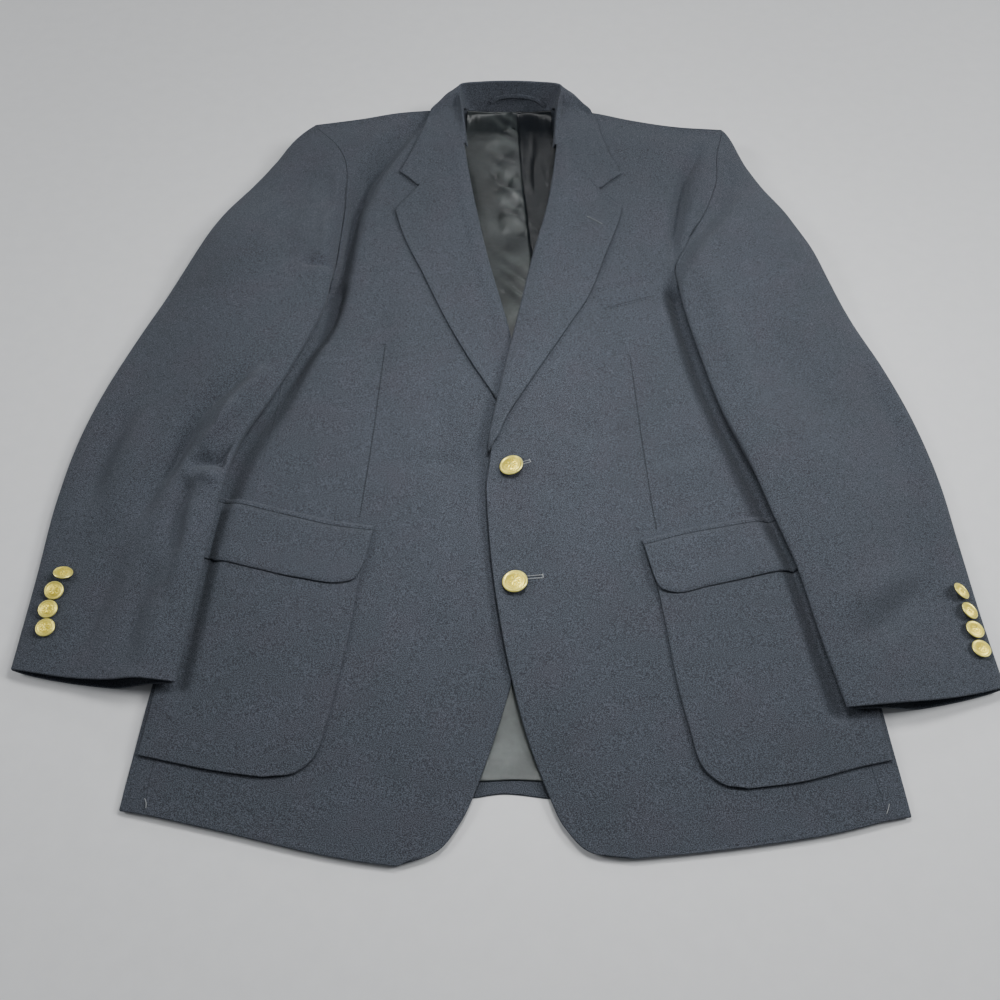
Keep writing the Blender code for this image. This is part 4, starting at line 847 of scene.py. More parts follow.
def sleeve_rings(side, columns, rows):
    """Rings of a flattened sleeve. A column is a layer, 1 upper or 0 lower, and a step across from
    the outer fold to the inner one. Its height is what lies below plus half the thickness, more or
    less by a rounded section, and near the armhole it turns into the seam."""
    outer, inner = along(SLEEVE_OUTER[side], rows), along(SLEEVE_INNER[side], rows)
    thick = along(SLEEVE_THICK, rows)
    fade = 1 - ease(rows / OUTLINE_FADE)
    start, end = outer[0], inner[0]
    hole = armhole(side)
    grid = []
    for upper, u in columns:
        plan = outer + (inner - outer) * u
        chord = start + (end - start) * u
        if upper:
            sewn = straight(hole, u)
            seam, seam_z = sewn[:2], sewn[2] + (LAYER + SEAM) * ease((u - 0.80) / 0.15)
            quick = 1 - ease(rows / UPPER_TURN)
        else:
            sewn = straight(UNDERARM[side], u)
            closer = 0.0065 * ease(u / 0.006) * ease((0.16 - u) / 0.07)
            seam = sewn[:2] - np.array([side * closer, 0.0])
            quick = 1 - ease(rows / LOWER_TURN)
            plan[:, 0] += side * ARMPIT_PUSH * bell(u - 0.51, 0.07) * (
                ease(rows / 0.03) * (1 - ease((rows - 0.03) / 0.30)))
            share, height = support(seam[0], seam[1], 0.0)
            body = front_z(seam[0], seam[1], side) + LAYER + SEAM
            seam_z = FLOOR + sewn[2] * (max(share * height, body) - FLOOR)
            seam_z = seam_z + (straight(hole, 0.0)[2] - FLOOR) * ease((0.10 - u) / 0.10)
        plan = plan + fade[:, None] * (seam - chord)
        plan[:, 1] -= CUFF_BOW * 4 * u * (1 - u) * ease((rows - 0.7) / 0.3)
        share, height = support(plan[:, 0], plan[:, 1], float(upper))
        low = FLOOR + share * height
        deep = thick[:, 0] * (1 - share) + thick[:, 1] * share
        round_off = np.sqrt(1 - np.abs(2 * u - 1) ** SECTION_POWER)
        z = low + 0.5 * deep * (1 + (round_off if upper else -round_off))
        z = z * (1 - quick) + seam_z * quick
        grid.append(np.stack([plan[:, 0], plan[:, 1], z], axis=-1))
    return np.stack(grid, axis=1)


def sleeve_top(side, gap=0.0032):
    """Top sleeve, round both folds; its upper layer has the creases, a swell of sine waves and a
    bell where the cuff stands open."""
    bend = 0.5 - 0.5 * np.cos(np.linspace(0, np.pi, 66))
    lower, turned = [(0, u) for u in TOP_START], [(0, u) for u in TOP_END]
    upper = [(1, u) for u in bend]
    rows = steps(SLEEVE_LENGTH, gap)
    plain = sleeve_rings(side, lower + upper + turned, rows)
    pressed = creased(plain, "sleeve", side)
    layer = np.array([0.0] * len(lower) + [1.0] * len(upper) + [0.0] * len(turned))
    across = np.array([0.0] * len(lower) + [u for _, u in upper] + [1.0] * len(turned))
    keep = layer * ease(across / 0.12) * ease((1.0 - across) / 0.05)
    keep = keep[None, :] * ease(rows / 0.03)[:, None]
    swell = waves(plain[..., :2], 0.0009, 2.0 + 3 * side) * keep * ease((1 - rows) / 0.04)[:, None]
    made = plain + (pressed - plain) * keep[..., None]
    made[..., 2] += swell
    cuff = bell((1 - rows) * SLEEVE_LENGTH, 0.010)[:, None] * keep
    if side < 0:
        made[..., 2] += 0.0048 * cuff * bell(plain[..., 0] + 0.288, 0.017)
    else:
        made[..., 2] += 0.0012 * cuff * bell(plain[..., 0] - 0.300, 0.030)
    return made


def sleeve_under(side, gap=0.0040):
    """Under sleeve: the rings' lower layer between the two seams, with its own creases."""
    across = np.concatenate([UNDER_START, np.linspace(0.115, 0.93, 44), UNDER_END])
    rings = sleeve_rings(side, [(0, u) for u in across], steps(SLEEVE_LENGTH, gap))
    return creased(rings, "under", side)


def pocket(side, gap=0.0022):
    """Patch pocket between its four edges, laid on a front and its side panel, with a bell along
    the turned edge, a swell of sine waves and a bell toward the opening."""
    u, v = (steps(size, gap) for size in SIZE["pocket"])
    first = along(POCKET_FRONT[side], v)
    lower = along(POCKET_LOWER[side], u)
    upper = straight(FLAP_UPPER[side], u) - np.array([0.0, 0.010])
    upper += (1 - u[:, None]) * (first[-1] - upper[0])
    last_y = lower[-1, 1] + (upper[-1, 1] - lower[-1, 1]) * v
    last = np.stack([side * (along(HALF_WIDTH, last_y)[:, 0] - FOLD_INSET), last_y], axis=-1)
    lower[-1], upper[-1] = last[0], last[-1]
    plan = patch(lower, upper, first, last, u, v)
    near, far, low, high = border(on_front(plan, side, LAYER))
    rim = np.minimum(near, low)
    inner = np.minimum(rim, far)
    out = LAYER + 0.0005 + 0.0003 * bell(rim - 0.0030, 0.0018) * ease(inner / 0.0015)
    out += waves(plan, 0.0008, 5.0 * side) * ease(inner / 0.02) * ease(high / 0.05)
    out += 0.0010 * ease(inner / 0.020) * ease(high / 0.04) * bell(high, 0.11)
    return on_front(plan, side, out), rim


def flap(side, gap=0.0020):
    """Pocket flap: straight lines from its free edge to its sewn one, laid on the front, a layer
    higher over the pocket, with bells along its free edge and its stitched line."""
    u, v = (steps(size, gap) for size in SIZE["flap"])
    upper, lower = along(FLAP_UPPER[side], u), along(FLAP_LOWER[side], u)
    plan = lower[None] + (upper - lower)[None] * v[:, None, None]
    rim_y = plan[:, -1, 1]
    rim = np.stack([side * (along(HALF_WIDTH, rim_y)[:, 0] - FOLD_INSET), rim_y], axis=-1)
    plan = plan + u[None, :, None] ** 4 * (rim - plan[:, -1])[:, None]
    out = LAYER * (2 - ease((v - 0.80) / 0.20))[:, None] + 0 * plan[..., 0]
    level = 1 - beside_sleeve(plan[..., 0], plan[..., 1], side) / HOLLOW_SHARE
    out += 0.0010 * (1 - v)[:, None] * level
    near, far, low, high = border(on_front(plan, side, out))
    rim = np.minimum(near, low)
    inner = np.minimum(rim, far)
    out += 0.0008 * level * ease(inner / 0.002) * bell(low, 0.020) * ease(near / 0.010)
    out += 0.0011 * bell(high - 0.0026, 0.0018) * ease(np.minimum(inner, high) / 0.0015)
    out -= 0.0005 * bell(high - 0.0058, 0.0012)
    out += waves(plan, 0.0004, 8.0 + side) * ease(inner / 0.01) * ease(high / 0.01)
    return on_front(plan, side, out), high


def welt(gap=0.0018):
    """Breast pocket welt between its four corners, on the left front and sunk into it at its
    ends."""
    u, v = (steps(size, gap) for size in SIZE["welt"])
    u, v = u[None, :, None], v[:, None, None]
    a, b, c, d = (np.array(corner) for corner in WELT)
    plan = (1 - v) * ((1 - u) * a + u * b) + v * ((1 - u) * d + u * c)
    ends = ease(u[..., 0] / 0.15) * ease((1 - u[..., 0]) / 0.35)
    out = -0.0004 + (0.0008 + 0.0006 * ease(v[..., 0])) * ends
    return on_front(plan, 1, out + 0 * plan[..., 0])


def hanger_loop(gap=0.0012):
    """Loop of tape inside the collar stand: a band across its path, bowed out as a half sine wave,
    each point standing off the nearest of the stand's straight lines from neck to crease."""
    path = along(LOOP, steps(SIZE["loop"][1], gap))
    slope = np.gradient(path, axis=0)
    slope /= np.linalg.norm(slope, axis=-1, keepdims=True)
    step = np.linspace(0.40, 0.64, 49)
    neck, crease = np.split(along(COLLAR, step), 4, axis=1)[:2]
    grid = []
    for share in (-0.5, -0.47, -0.4, -0.25, 0.0, 0.25, 0.4, 0.47, 0.5):
        x = path[:, 0] - slope[:, 1] * SIZE["loop"][0] * share
        z = path[:, 1] + slope[:, 0] * SIZE["loop"][0] * share
        up = (z[:, None] - neck[None, :, 2]) / (crease[:, 2] - neck[:, 2])[None]
        at_x = neck[None, :, 0] + (crease[:, 0] - neck[:, 0])[None] * up
        at_y = neck[None, :, 1] + (crease[:, 1] - neck[:, 1])[None] * up
        near = np.argmin(np.abs(at_x - x[:, None]), axis=1)
        stand = at_y[np.arange(len(x)), near]
        bow = LOOP_BOW * np.sin(np.pi * np.linspace(0, 1, len(x)))
        grid.append(np.stack([x, stand - LOOP_CLEAR - bow, z], axis=-1))
    return np.stack(grid, axis=1)


def mesh_object(name, points, faces):
    """Smooth mesh object of points and faces, linked to the scene."""
    mesh = bpy.data.meshes.new(name)
    mesh.from_pydata(points.tolist(), [], faces)
    mesh.shade_smooth()
    mesh.update()
    piece = bpy.data.objects.new(name, mesh)
    bpy.context.scene.collection.objects.link(piece)
    return piece


def mark(piece, label, values):
    """Store one value for each point of a piece, under the label that its finish reads."""
    store = piece.data.attributes.new(label, "FLOAT", "POINT")
    store.data.foreach_set("value", values.astype(np.float32))


def dress(piece, finish, node=None):
    """Give a piece its finish and its body, and hide the solid that it replaces, if any."""
    piece.data.materials.append(finish_of(finish))
    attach(piece, "root")
    if node is not None:
        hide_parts(node)
    return piece


def cells(index):
    """Faces of a grid of point numbers."""
    corners = [index[:-1, :-1], index[:-1, 1:], index[1:, 1:], index[1:, :-1]]
    return np.stack(corners, axis=-1).reshape(-1, 4)


def closed_rings(count, sides, start):
    """Point numbers of rings whose last column is the first one again."""
    index = start + np.arange(count * sides).reshape(count, sides)
    return np.concatenate([index, index[:, :1]], axis=1)


def grown(middle, grow):
    """Grid whose border points move outward by grow, each along its own row or column."""
    made = middle.copy()
    for rim, inner in ((np.s_[:, 0], np.s_[:, 4]), (np.s_[:, -1], np.s_[:, -5]),
                       (np.s_[0], np.s_[4]), (np.s_[-1], np.s_[-5])):
        way = middle[rim] - middle[inner]
        made[rim] += grow * way / np.maximum(np.linalg.norm(way, axis=-1, keepdims=True), 1e-9)
    return made


def cloth_wall(name, middle, thick, sewn=None, run=None, grow=SEAM_REACH):
    """Closed wall of cloth: its points are the middle ones moved half the thickness both ways along
    the normal, and the thickness falls away over the last millimetre like a quarter of an ellipse.
    Each border grows outward along the cloth, so that the edges of a seam meet."""
    middle = grown(middle, grow)
    normal = np.cross(np.gradient(middle, axis=1), np.gradient(middle, axis=0))
    normal /= np.maximum(np.linalg.norm(normal, axis=-1, keepdims=True), 1e-12)
    near = np.minimum.reduce(border(middle))
    half = 0.5 * thick * np.sqrt(1 - (1 - np.clip(near / EDGE_TURN, 0, 1)) ** 2)
    outer = middle + normal * half[..., None]
    inner = middle - normal * half[..., None]
    count, wide = middle.shape[:2]
    top = np.arange(count * wide).reshape(count, wide)
    low = top.copy()
    inside = np.arange((count - 2) * (wide - 2)).reshape(count - 2, wide - 2)
    low[1:-1, 1:-1] = count * wide + inside
    points = np.concatenate([outer.reshape(-1, 3), inner[1:-1, 1:-1].reshape(-1, 3)]) - MIDDLE
    piece = mesh_object(name, points, np.concatenate([cells(top), cells(low)[:, ::-1]]).tolist())
    # the sewn label holds the wool's distance from its stitched line and, for the satin, its
    # painted shade and painted light
    for label, values in (("sewn", sewn), ("run", run)):
        values = np.full((count, wide), 1.0) if values is None else values
        mark(piece, label, np.concatenate([values.ravel(), values[1:-1, 1:-1].ravel()]))
    return piece


def cloth(name, middle, thick, sewn=None, run=None, node=None, finish="brushed_wool"):
    """Wall of cloth on its middle surface, given its finish and its body, and hiding the solid that
    it replaces."""
    piece = cloth_wall("cloth_" + name, middle, thick, sewn, run)
    dress(piece, finish, node or name)


def rgba(colour, share=1.0):
    """Colour times share, opaque."""
    return tuple(c * share for c in colour[:3]) + (1.0,)


class Finish:
    """Material in the making: its tree, its shader and the object's own coordinates."""

    def __init__(self, name, base, rough, metal=0.0):
        self.material = bpy.data.materials.new(name)
        self.material.use_nodes = True
        self.tree = self.material.node_tree
        self.shader = self.tree.nodes["Principled BSDF"]
        self.place = self.tree.nodes.new("ShaderNodeTexCoord").outputs["Object"]
        self.shade({"Base Color": base, "Roughness": rough, "Metallic": metal})

    def put(self, node, values):
        """Give a node's inputs their plain values, or link them to the outputs given."""
        for key, value in values.items():
            if isinstance(value, bpy.types.NodeSocket):
                self.tree.links.new(value, node.inputs[key])
            elif value is not None:
                node.inputs[key].default_value = value

    def shade(self, values):
        """Set or link inputs of the shader."""
        self.put(self.shader, values)

    def node(self, kind, values, output=0, **settings):
        """Output of a new shader node."""
        made = self.tree.nodes.new("ShaderNode" + kind)
        for key, value in settings.items():
            setattr(made, key, value)
        self.put(made, values)
        return made.outputs[output]

    def ramp(self, source, *stops):
        """Colour ramp through stops of place and colour."""
        made = self.tree.nodes.new("ShaderNodeValToRGB")
        elements = made.color_ramp.elements
        elements[0].position, elements[0].color = stops[0]
        elements[1].position, elements[1].color = stops[-1]
        for place, colour in stops[1:-1]:
            elements.new(place).color = colour
        self.put(made, {0: source})
        return made.outputs[0]

    def noise(self, scale, detail=2.0, rough=0.5):
        """Noise pattern over the object's own coordinates."""
        return self.node("TexNoise", {"Vector": self.place, "Scale": scale, "Detail": detail,
                                      "Roughness": rough}, "Fac")

    def maths(self, operation, first, second=None, clamp=False):
        """Result of one operation on two values, each a socket or a number."""
        return self.node("Math", {0: first, 1: second}, operation=operation, use_clamp=clamp)

    def scaled(self, value, share, start=None):
        """A value times share, and from start where one is given."""
        made = self.maths("MULTIPLY", value, share)
        return made if start is None else self.maths("ADD", start, made)

    def blend(self, share, first, second, how="MIX"):
        """Colour between two colours, each a socket or four numbers."""
        return self.node("Mix", {0: share, 6: first, 7: second}, 2, data_type="RGBA",
                         blend_type=how)

    def bump(self, height, depth, before=None, strength=1.0):
        """Surface normal roughened by a height pattern of the depth given."""
        return self.node("Bump", {"Strength": strength, "Distance": depth, "Height": height,
                                  "Normal": before})

    def stored(self, label):
        """Value stored at the points of the mesh."""
        return self.node("Attribute", {}, "Fac", attribute_name=label)


def wool_finish(look):
    """Brushed wool: mixed dark and light fibres, pale flecks, slow change of colour and a raised
    nap, with a stitched line where the stored distance from it is nothing."""
    made = Finish("brushed_wool", rgba(look.wool), 0.9)
    fibre, fleck = made.noise(1250.0, 3.0, 0.7), made.noise(1700.0, 1.0, 0.5)
    cloud, tint = made.noise(11.0, 3.0, 0.55), made.noise(26.0, 2.0, 0.5)
    base = made.ramp(fibre, (0.36, rgba(look.wool, 0.36)), (0.5, rgba(look.wool, 0.95)),
                     (0.64, rgba(look.wool, 1.90)))
    pale = made.ramp(fleck, (0.66, BLACK), (0.74, WHITE))
    base = made.blend(made.scaled(pale, 0.35), base, rgba(look.wool, 3.4))
    green = made.blend(1.0, base, (0.80, 0.83, 0.80, 1.0), "MULTIPLY")
    base = made.blend(made.scaled(made.ramp(cloud, (0.3, BLACK), (0.7, WHITE)), 0.5), base, green)
    purple = made.blend(1.0, base, (1.10, 0.96, 0.98, 1.0), "MULTIPLY")
    base = made.blend(made.ramp(tint, (0.45, BLACK), (0.75, rgba(WHITE, 0.45))), base, purple)
    away = made.maths("ABSOLUTE", made.stored("sewn"))
    line = made.maths("SUBTRACT", 1.0, made.scaled(away, 1100.0), clamp=True)
    stitch = made.scaled(made.maths("SINE", made.scaled(made.stored("run"), 2400.0)), 0.28, 0.72)
    line = made.scaled(line, stitch)
    base = made.blend(made.scaled(line, 0.75), base, rgba(look.wool, 0.18))
    nap = made.bump(fibre, 0.0009, strength=0.75)
    dent = made.bump(made.scaled(line, -1.0), 0.0009, before=nap)
    fuzz = made.bump(made.noise(150.0, 3.0, 0.6), 0.0006, before=dent, strength=0.6)
    made.shade({"Base Color": base, "Roughness": made.scaled(fibre, 0.16, 0.82),
                "Sheen Weight": look.sheen, "Sheen Roughness": 0.55,
                "Sheen Tint": (0.62, 0.68, 0.76, 1.0), "Specular IOR Level": 0.18, "Normal": fuzz})
    return made.material


def satin_finish(look):
    """Lining satin: fine ribs across the cloth, slow change of colour, a soft gloss, and the
    painted shade and painted light stored at its points.
    """
    made = Finish("lining_satin", rgba(look.satin), 0.36)
    slow, fine = made.noise(30.0, 3.0, 0.6), made.noise(260.0, 3.0, 0.6)
    base = made.ramp(slow, (0.30, rgba(look.satin, 0.45)), (0.52, rgba(look.satin)),
                     (0.75, rgba(look.satin, 1.45)))
    # painted shade and painted light: the stored value is below 1 where shade is painted, past the
    # pleat, and above 1 where light is painted
    shade = made.stored("sewn")
    base = made.blend(made.maths("MULTIPLY", shade, 1.0, clamp=True), rgba(look.satin_painted_shade), base)
    # painted light: above 1 the satin is mixed toward nearly three times its colour, toward the hem
    # and on the pucker ridges
    wear_and_painted_light = made.maths("SUBTRACT", shade, 1.0, clamp=True)
    base = made.blend(wear_and_painted_light, base, made.blend(1.0, base, (2.9, 2.8, 2.6, 1.0), "MULTIPLY"))
    base = made.blend(made.scaled(fine, 0.35), base, rgba(look.satin, 0.6))
    ribs = made.node("TexWave", {"Scale": 700.0, "Distortion": 0.4, "Vector": made.place}, "Fac",
                     wave_type="BANDS", bands_direction="Y")
    weave = made.bump(ribs, 0.00012, strength=0.5)
    soft = made.bump(made.noise(90.0, 2.0, 0.5), 0.0012, before=weave, strength=0.5)
    made.shade({"Base Color": base, "Roughness": made.scaled(fine, 0.16, 0.30), "Anisotropic": 0.5,
                "Specular IOR Level": 0.8, "Normal": soft})
    return made.material


def gilt_finish(look):
    """Gilt metal: warm, bright on raised parts, with painted shade that makes the hollows of its
    relief darker and yellower.
    """
    made = Finish("gilt_metal", rgba(look.gilt), 0.32, 0.60)
    wear_and_painted_light = made.noise(900.0, 3.0, 0.6)
    base = made.ramp(wear_and_painted_light, (0.3, rgba(look.gilt, 0.82)), (0.7, rgba(look.gilt, 1.05)))
    # painted shade: the hollows of the relief are mixed toward a darker, deeper yellow
    base = made.blend(made.stored("hollow_shade"), base, (1.0, 0.76, 0.02, 1.0))
    made.shade({"Base Color": base, "Roughness": made.scaled(wear_and_painted_light, 0.16, 0.30),
                "Normal": made.bump(wear_and_painted_light, 0.00008, strength=0.5)})
    return made.material


def thread_finish(name, colour):
    """Sewing thread: twisted strands."""
    made = Finish(name, rgba(colour), 0.7)
    twist = made.noise(2200.0, 2.0, 0.6)
    base = made.ramp(twist, (0.3, rgba(colour, 0.55)), (0.7, rgba(colour, 1.25)))
    made.shade({"Base Color": base, "Sheen Weight": 0.3,
                "Normal": made.bump(twist, 0.0002, strength=0.6)})
    return made.material


def finish_of(name):
    """Finish made once and shared by the pieces that have it."""
    found = bpy.data.materials.get(name)
    if found is None and name in THREADS:
        found = thread_finish(name, THREADS[name])
    if found is None:
        kinds = {"brushed_wool": wool_finish, "lining_satin": satin_finish,
                 "gilt_metal": gilt_finish}
        found = kinds[name](bpy.context.scene.blazer_look)
    return found


def strand(path, radius, sides=6):
    """Rings of a thread round each point of its path, narrow at both ends."""
    slope = np.gradient(path, axis=0)
    slope /= np.linalg.norm(slope, axis=-1, keepdims=True)
    flat = np.cross(slope, np.array([0.0, 0.0, 1.0]))
    flat /= np.maximum(np.linalg.norm(flat, axis=-1, keepdims=True), 1e-9)
    turn = np.linspace(0, 2 * np.pi, sides, endpoint=False)
    size = radius * np.ones(len(path))
    size[0] = size[-1] = radius * 0.25
    around = (np.cos(turn)[None, :, None] * flat[:, None]
              + np.sin(turn)[None, :, None] * np.cross(flat, slope)[:, None])
    return path[:, None] + size[:, None, None] * around


def strands(name, paths, radius, finish):
    """One mesh of several threads, each a closed tube on its path."""
    points, quads, ends, done = [], [], [], 0
    for path in paths:
        rings = strand(path, radius)
        loop = closed_rings(*rings.shape[:2], done)
        quads += cells(loop).tolist()
        ends += [loop[0, :-1].tolist(), loop[-1, :-1][::-1].tolist()]
        points.append(rings.reshape(-1, 3))
        done += len(points[-1])
    dress(mesh_object(name, np.concatenate(points) - MIDDLE, quads + ends), finish)


def button_face(radius):
    """Turned button: each ring is a circle at its own height, from the dome to the foot of the
    shank, and the relief is a sum of bells outward times cosines round: petals, veins, a middle, a
    ring and a cord."""
    turn = np.linspace(0, 2 * np.pi, 96, endpoint=False)
    scale = radius / FRONT_BUTTON_RADIUS
    out = np.array(BUTTON_STEPS)
    height = along(BUTTON_DOME, out)
    petal = np.cos(8 * turn)[None] * bell(out - 0.30, 0.11)[:, None]
    vein = np.cos(24 * turn)[None] * bell(out - 0.52, 0.09)[:, None]
    centre = bell(out, 0.09)[:, None]
    ring = bell(out - 0.70, 0.028)[:, None]
    cord = np.cos(40 * turn[None] + 9 * out[:, None]) * bell(out - 0.80, 0.05)[:, None]
    relief = 0.00026 * petal + 0.00020 * vein + 0.0003 * centre + 0.00026 * ring + 0.00014 * cord
    top = (height + relief) * scale
    # share of painted shade in the hollows of the relief, none near the rim
    hollow_shade = np.clip(0.60 - relief / 0.00040, 0, 1) * (out < 0.86)[:, None]
    under = [(r, h * scale + 0 * turn) for r, h in BUTTON_UNDER]
    rings = [np.stack([r * radius * np.cos(turn), r * radius * np.sin(turn), h], axis=-1)
             for r, h in list(zip(out[1:], top[1:])) + under]
    dark = np.concatenate([hollow_shade[1:], np.zeros((len(under), len(turn)))])
    return np.stack(rings), dark, top[0].mean()


def set_button(node, radius, lean):
    """Button turned to its lean and set where its own solid lies."""
    rings, dark, peak = button_face(radius)
    points = np.concatenate([[[0.0, 0.0, peak]], rings.reshape(-1, 3), [[0.0, 0.0, 0.0]]])
    turned = points @ np.array(Euler((np.radians(lean[0]), np.radians(lean[1]), 0.0)).to_matrix()).T
    low, high = (np.array(corner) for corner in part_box(node))
    turned += 0.5 * (low + high) - 0.5 * (turned.min(axis=0) + turned.max(axis=0))
    loop = closed_rings(*rings.shape[:2], 1)
    foot = len(points) - 1
    fans = [(0, int(a), int(b)) for a, b in zip(loop[0, :-1], loop[0, 1:])]
    fans += [(foot, int(b), int(a)) for a, b in zip(loop[-1, :-1], loop[-1, 1:])]
    piece = mesh_object("visual_" + node, turned, cells(loop)[:, ::-1].tolist() + fans)
    # painted shade of the hollows, for the gilt finish
    mark(piece, "hollow_shade", np.concatenate([[0.0], dark.ravel(), [0.0]]))
    dress(piece, "gilt_metal", node)


def seam_line(ends, count):
    """Steps along a straight line between two ends, its points, and the way along and across it."""
    a, b = np.array(ends)
    way = (b - a) / np.linalg.norm(b - a)
    t = np.linspace(0, 1, count)
    return t, a + (b - a) * t[:, None], way, np.array([-way[1], way[0]])


class BlazerCloth(bpy.types.PropertyGroup):
    """Sizes of the cloth."""
    gap: bpy.props.FloatProperty(
        name="Grid gap", description="Distance between the points of a panel", default=GRID_GAP,
        min=0.001, unit="LENGTH")
    wall: bpy.props.FloatProperty(
        name="Cloth", description="Thickness of the wool cloth", default=CLOTH, min=0.0005,
        unit="LENGTH")
    facing: bpy.props.FloatProperty(
        name="Facing", description="Thickness of the lapels and collar", default=FACING, min=0.0005,
        unit="LENGTH")


class BlazerLook(bpy.types.PropertyGroup):
    """Colours of the finishes."""
    wool: bpy.props.FloatVectorProperty(
        name="Wool", description="Middle colour of the wool fibres",
        default=(0.0560, 0.0635, 0.0785), size=3, subtype="COLOR", min=0.0, max=1.0)
    sheen: bpy.props.FloatProperty(
        name="Nap", description="How strongly the brushed nap catches the light", default=0.10,
        min=0.0, max=1.0, subtype="FACTOR")
    satin: bpy.props.FloatVectorProperty(
        name="Satin", description="Colour of the lining", default=(0.029, 0.035, 0.0365), size=3,
        subtype="COLOR", min=0.0, max=1.0)
    # painted shade: the colour toward which the lining is mixed past its pleat
    satin_painted_shade: bpy.props.FloatVectorProperty(
        name="Painted shade of the satin", description="Painted shade of the lining past its pleat",
        default=(0.0035, 0.0055, 0.0095), size=3, subtype="COLOR", min=0.0, max=1.0)
    gilt: bpy.props.FloatVectorProperty(
        name="Gilt", description="Colour of the buttons", default=(1.0, 0.90, 0.24), size=3,
        subtype="COLOR", min=0.0, max=1.0)


class BlazerStage(bpy.types.PropertyGroup):
    """Floor and light."""
    floor: bpy.props.FloatProperty(
        name="Floor", description="Width of the floor", default=8.0, min=1.0, unit="LENGTH")
    key: bpy.props.FloatProperty(
        name="Main light", description="Power by which all the lamps are measured", default=2.9,
        min=0.0, unit="POWER")
    fill: bpy.props.FloatProperty(
        name="Room light", description="Strength of the light from all round", default=0.16,
        min=0.0)


class BLAZER_OT_body(bpy.types.Operator):
    """Build the back, the side panels and the fronts with their darts"""
    bl_idname = "blazer.body"
    bl_label = "Body"

    def execute(self, context):
        sizes = context.scene.blazer_cloth
        middle = back()
        middle[-1, :, 2] += NAPE_LIFT * np.exp(-(middle[-1, :, 0] / 0.056) ** 8)
        cloth("back", middle, sizes.wall)
        for side, half in SIDES:
            cloth("side_" + half, side_panel(side, sizes.gap), sizes.wall)
            middle = front(side, sizes.gap)
            gap, run, _ = line_gap(middle[..., :2], DARTS[side])
            middle[..., 2] -= DART_DEPTH * bell(gap, 0.0028)
            cloth("front_" + half, middle, sizes.wall,
                  gap, run)
        return {"FINISHED"}


class BLAZER_OT_collar(bpy.types.Operator):
    """Build the lapels, the collar and the loop inside it"""
    bl_idname = "blazer.collar"
    bl_label = "Lapels and collar"

    def execute(self, context):
        sizes = context.scene.blazer_cloth
        for side, half in SIDES:
            cloth("lapel_" + half, lapel(side), sizes.facing)
        loop = cloth_wall("cloth_loop", hanger_loop(), TAPE, grow=0.0)
        dress(loop, "brushed_wool", "hanger_loop")
        cloth("collar", collar(), sizes.facing)
        return {"FINISHED"}


class BLAZER_OT_sleeves(bpy.types.Operator):
    """Build the top and under sleeves"""
    bl_idname = "blazer.sleeves"
    bl_label = "Sleeves"

    def execute(self, context):
        wall = context.scene.blazer_cloth.wall
        for side, half in SIDES:
            cloth("sleeve_top_" + half, sleeve_top(side), wall)
            cloth("sleeve_under_" + half, sleeve_under(side), wall)
        return {"FINISHED"}


class BLAZER_OT_pockets(bpy.types.Operator):
    """Build the patch pockets, their flaps and the breast welt"""
    bl_idname = "blazer.pockets"
    bl_label = "Pockets"

    def execute(self, context):
        wall = context.scene.blazer_cloth.wall
        for side, half in SIDES:
            middle, rim = pocket(side)
            cloth("pocket_" + half, middle, wall,
                  0.0006 + np.abs(rim - POCKET_STITCH), middle[..., 1])
            middle, high = flap(side)
            cloth("flap_" + half, middle, wall,
                  high - FLAP_STITCH, middle[..., 0])
        middle = welt()
        sewn = np.minimum.reduce(border(middle)[:3]) - WELT_STITCH
        cloth("welt", middle, wall, sewn, middle[..., 0],
              node="breast_welt")
        return {"FINISHED"}


class BLAZER_OT_lining(bpy.types.Operator):
    """Build the satin lining with its pleat"""
    bl_idname = "blazer.lining"
    bl_label = "Lining"

    def execute(self, context):
        middle = lining()
        # the satin's painted shade and painted light, stored under the label that the wool uses for
        # its stitched line
        cloth("lining", middle, LINING, satin_light(middle), finish="lining_satin")
        return {"FINISHED"}


class BLAZER_OT_buttons(bpy.types.Operator):
    """Build the gilt buttons with their raised pattern"""
    bl_idname = "blazer.buttons"
    bl_label = "Buttons"

    def execute(self, context):
        for k, lean in enumerate(FRONT_LEAN):
            set_button("button_front_%d" % (k + 1), FRONT_BUTTON_RADIUS, lean)
        for side, half in SIDES:
            for k, lean in enumerate(CUFF_LEAN[side]):
                set_button("button_cuff_%s_%d" % (half, k + 1), CUFF_BUTTON_RADIUS, lean)
        return {"FINISHED"}


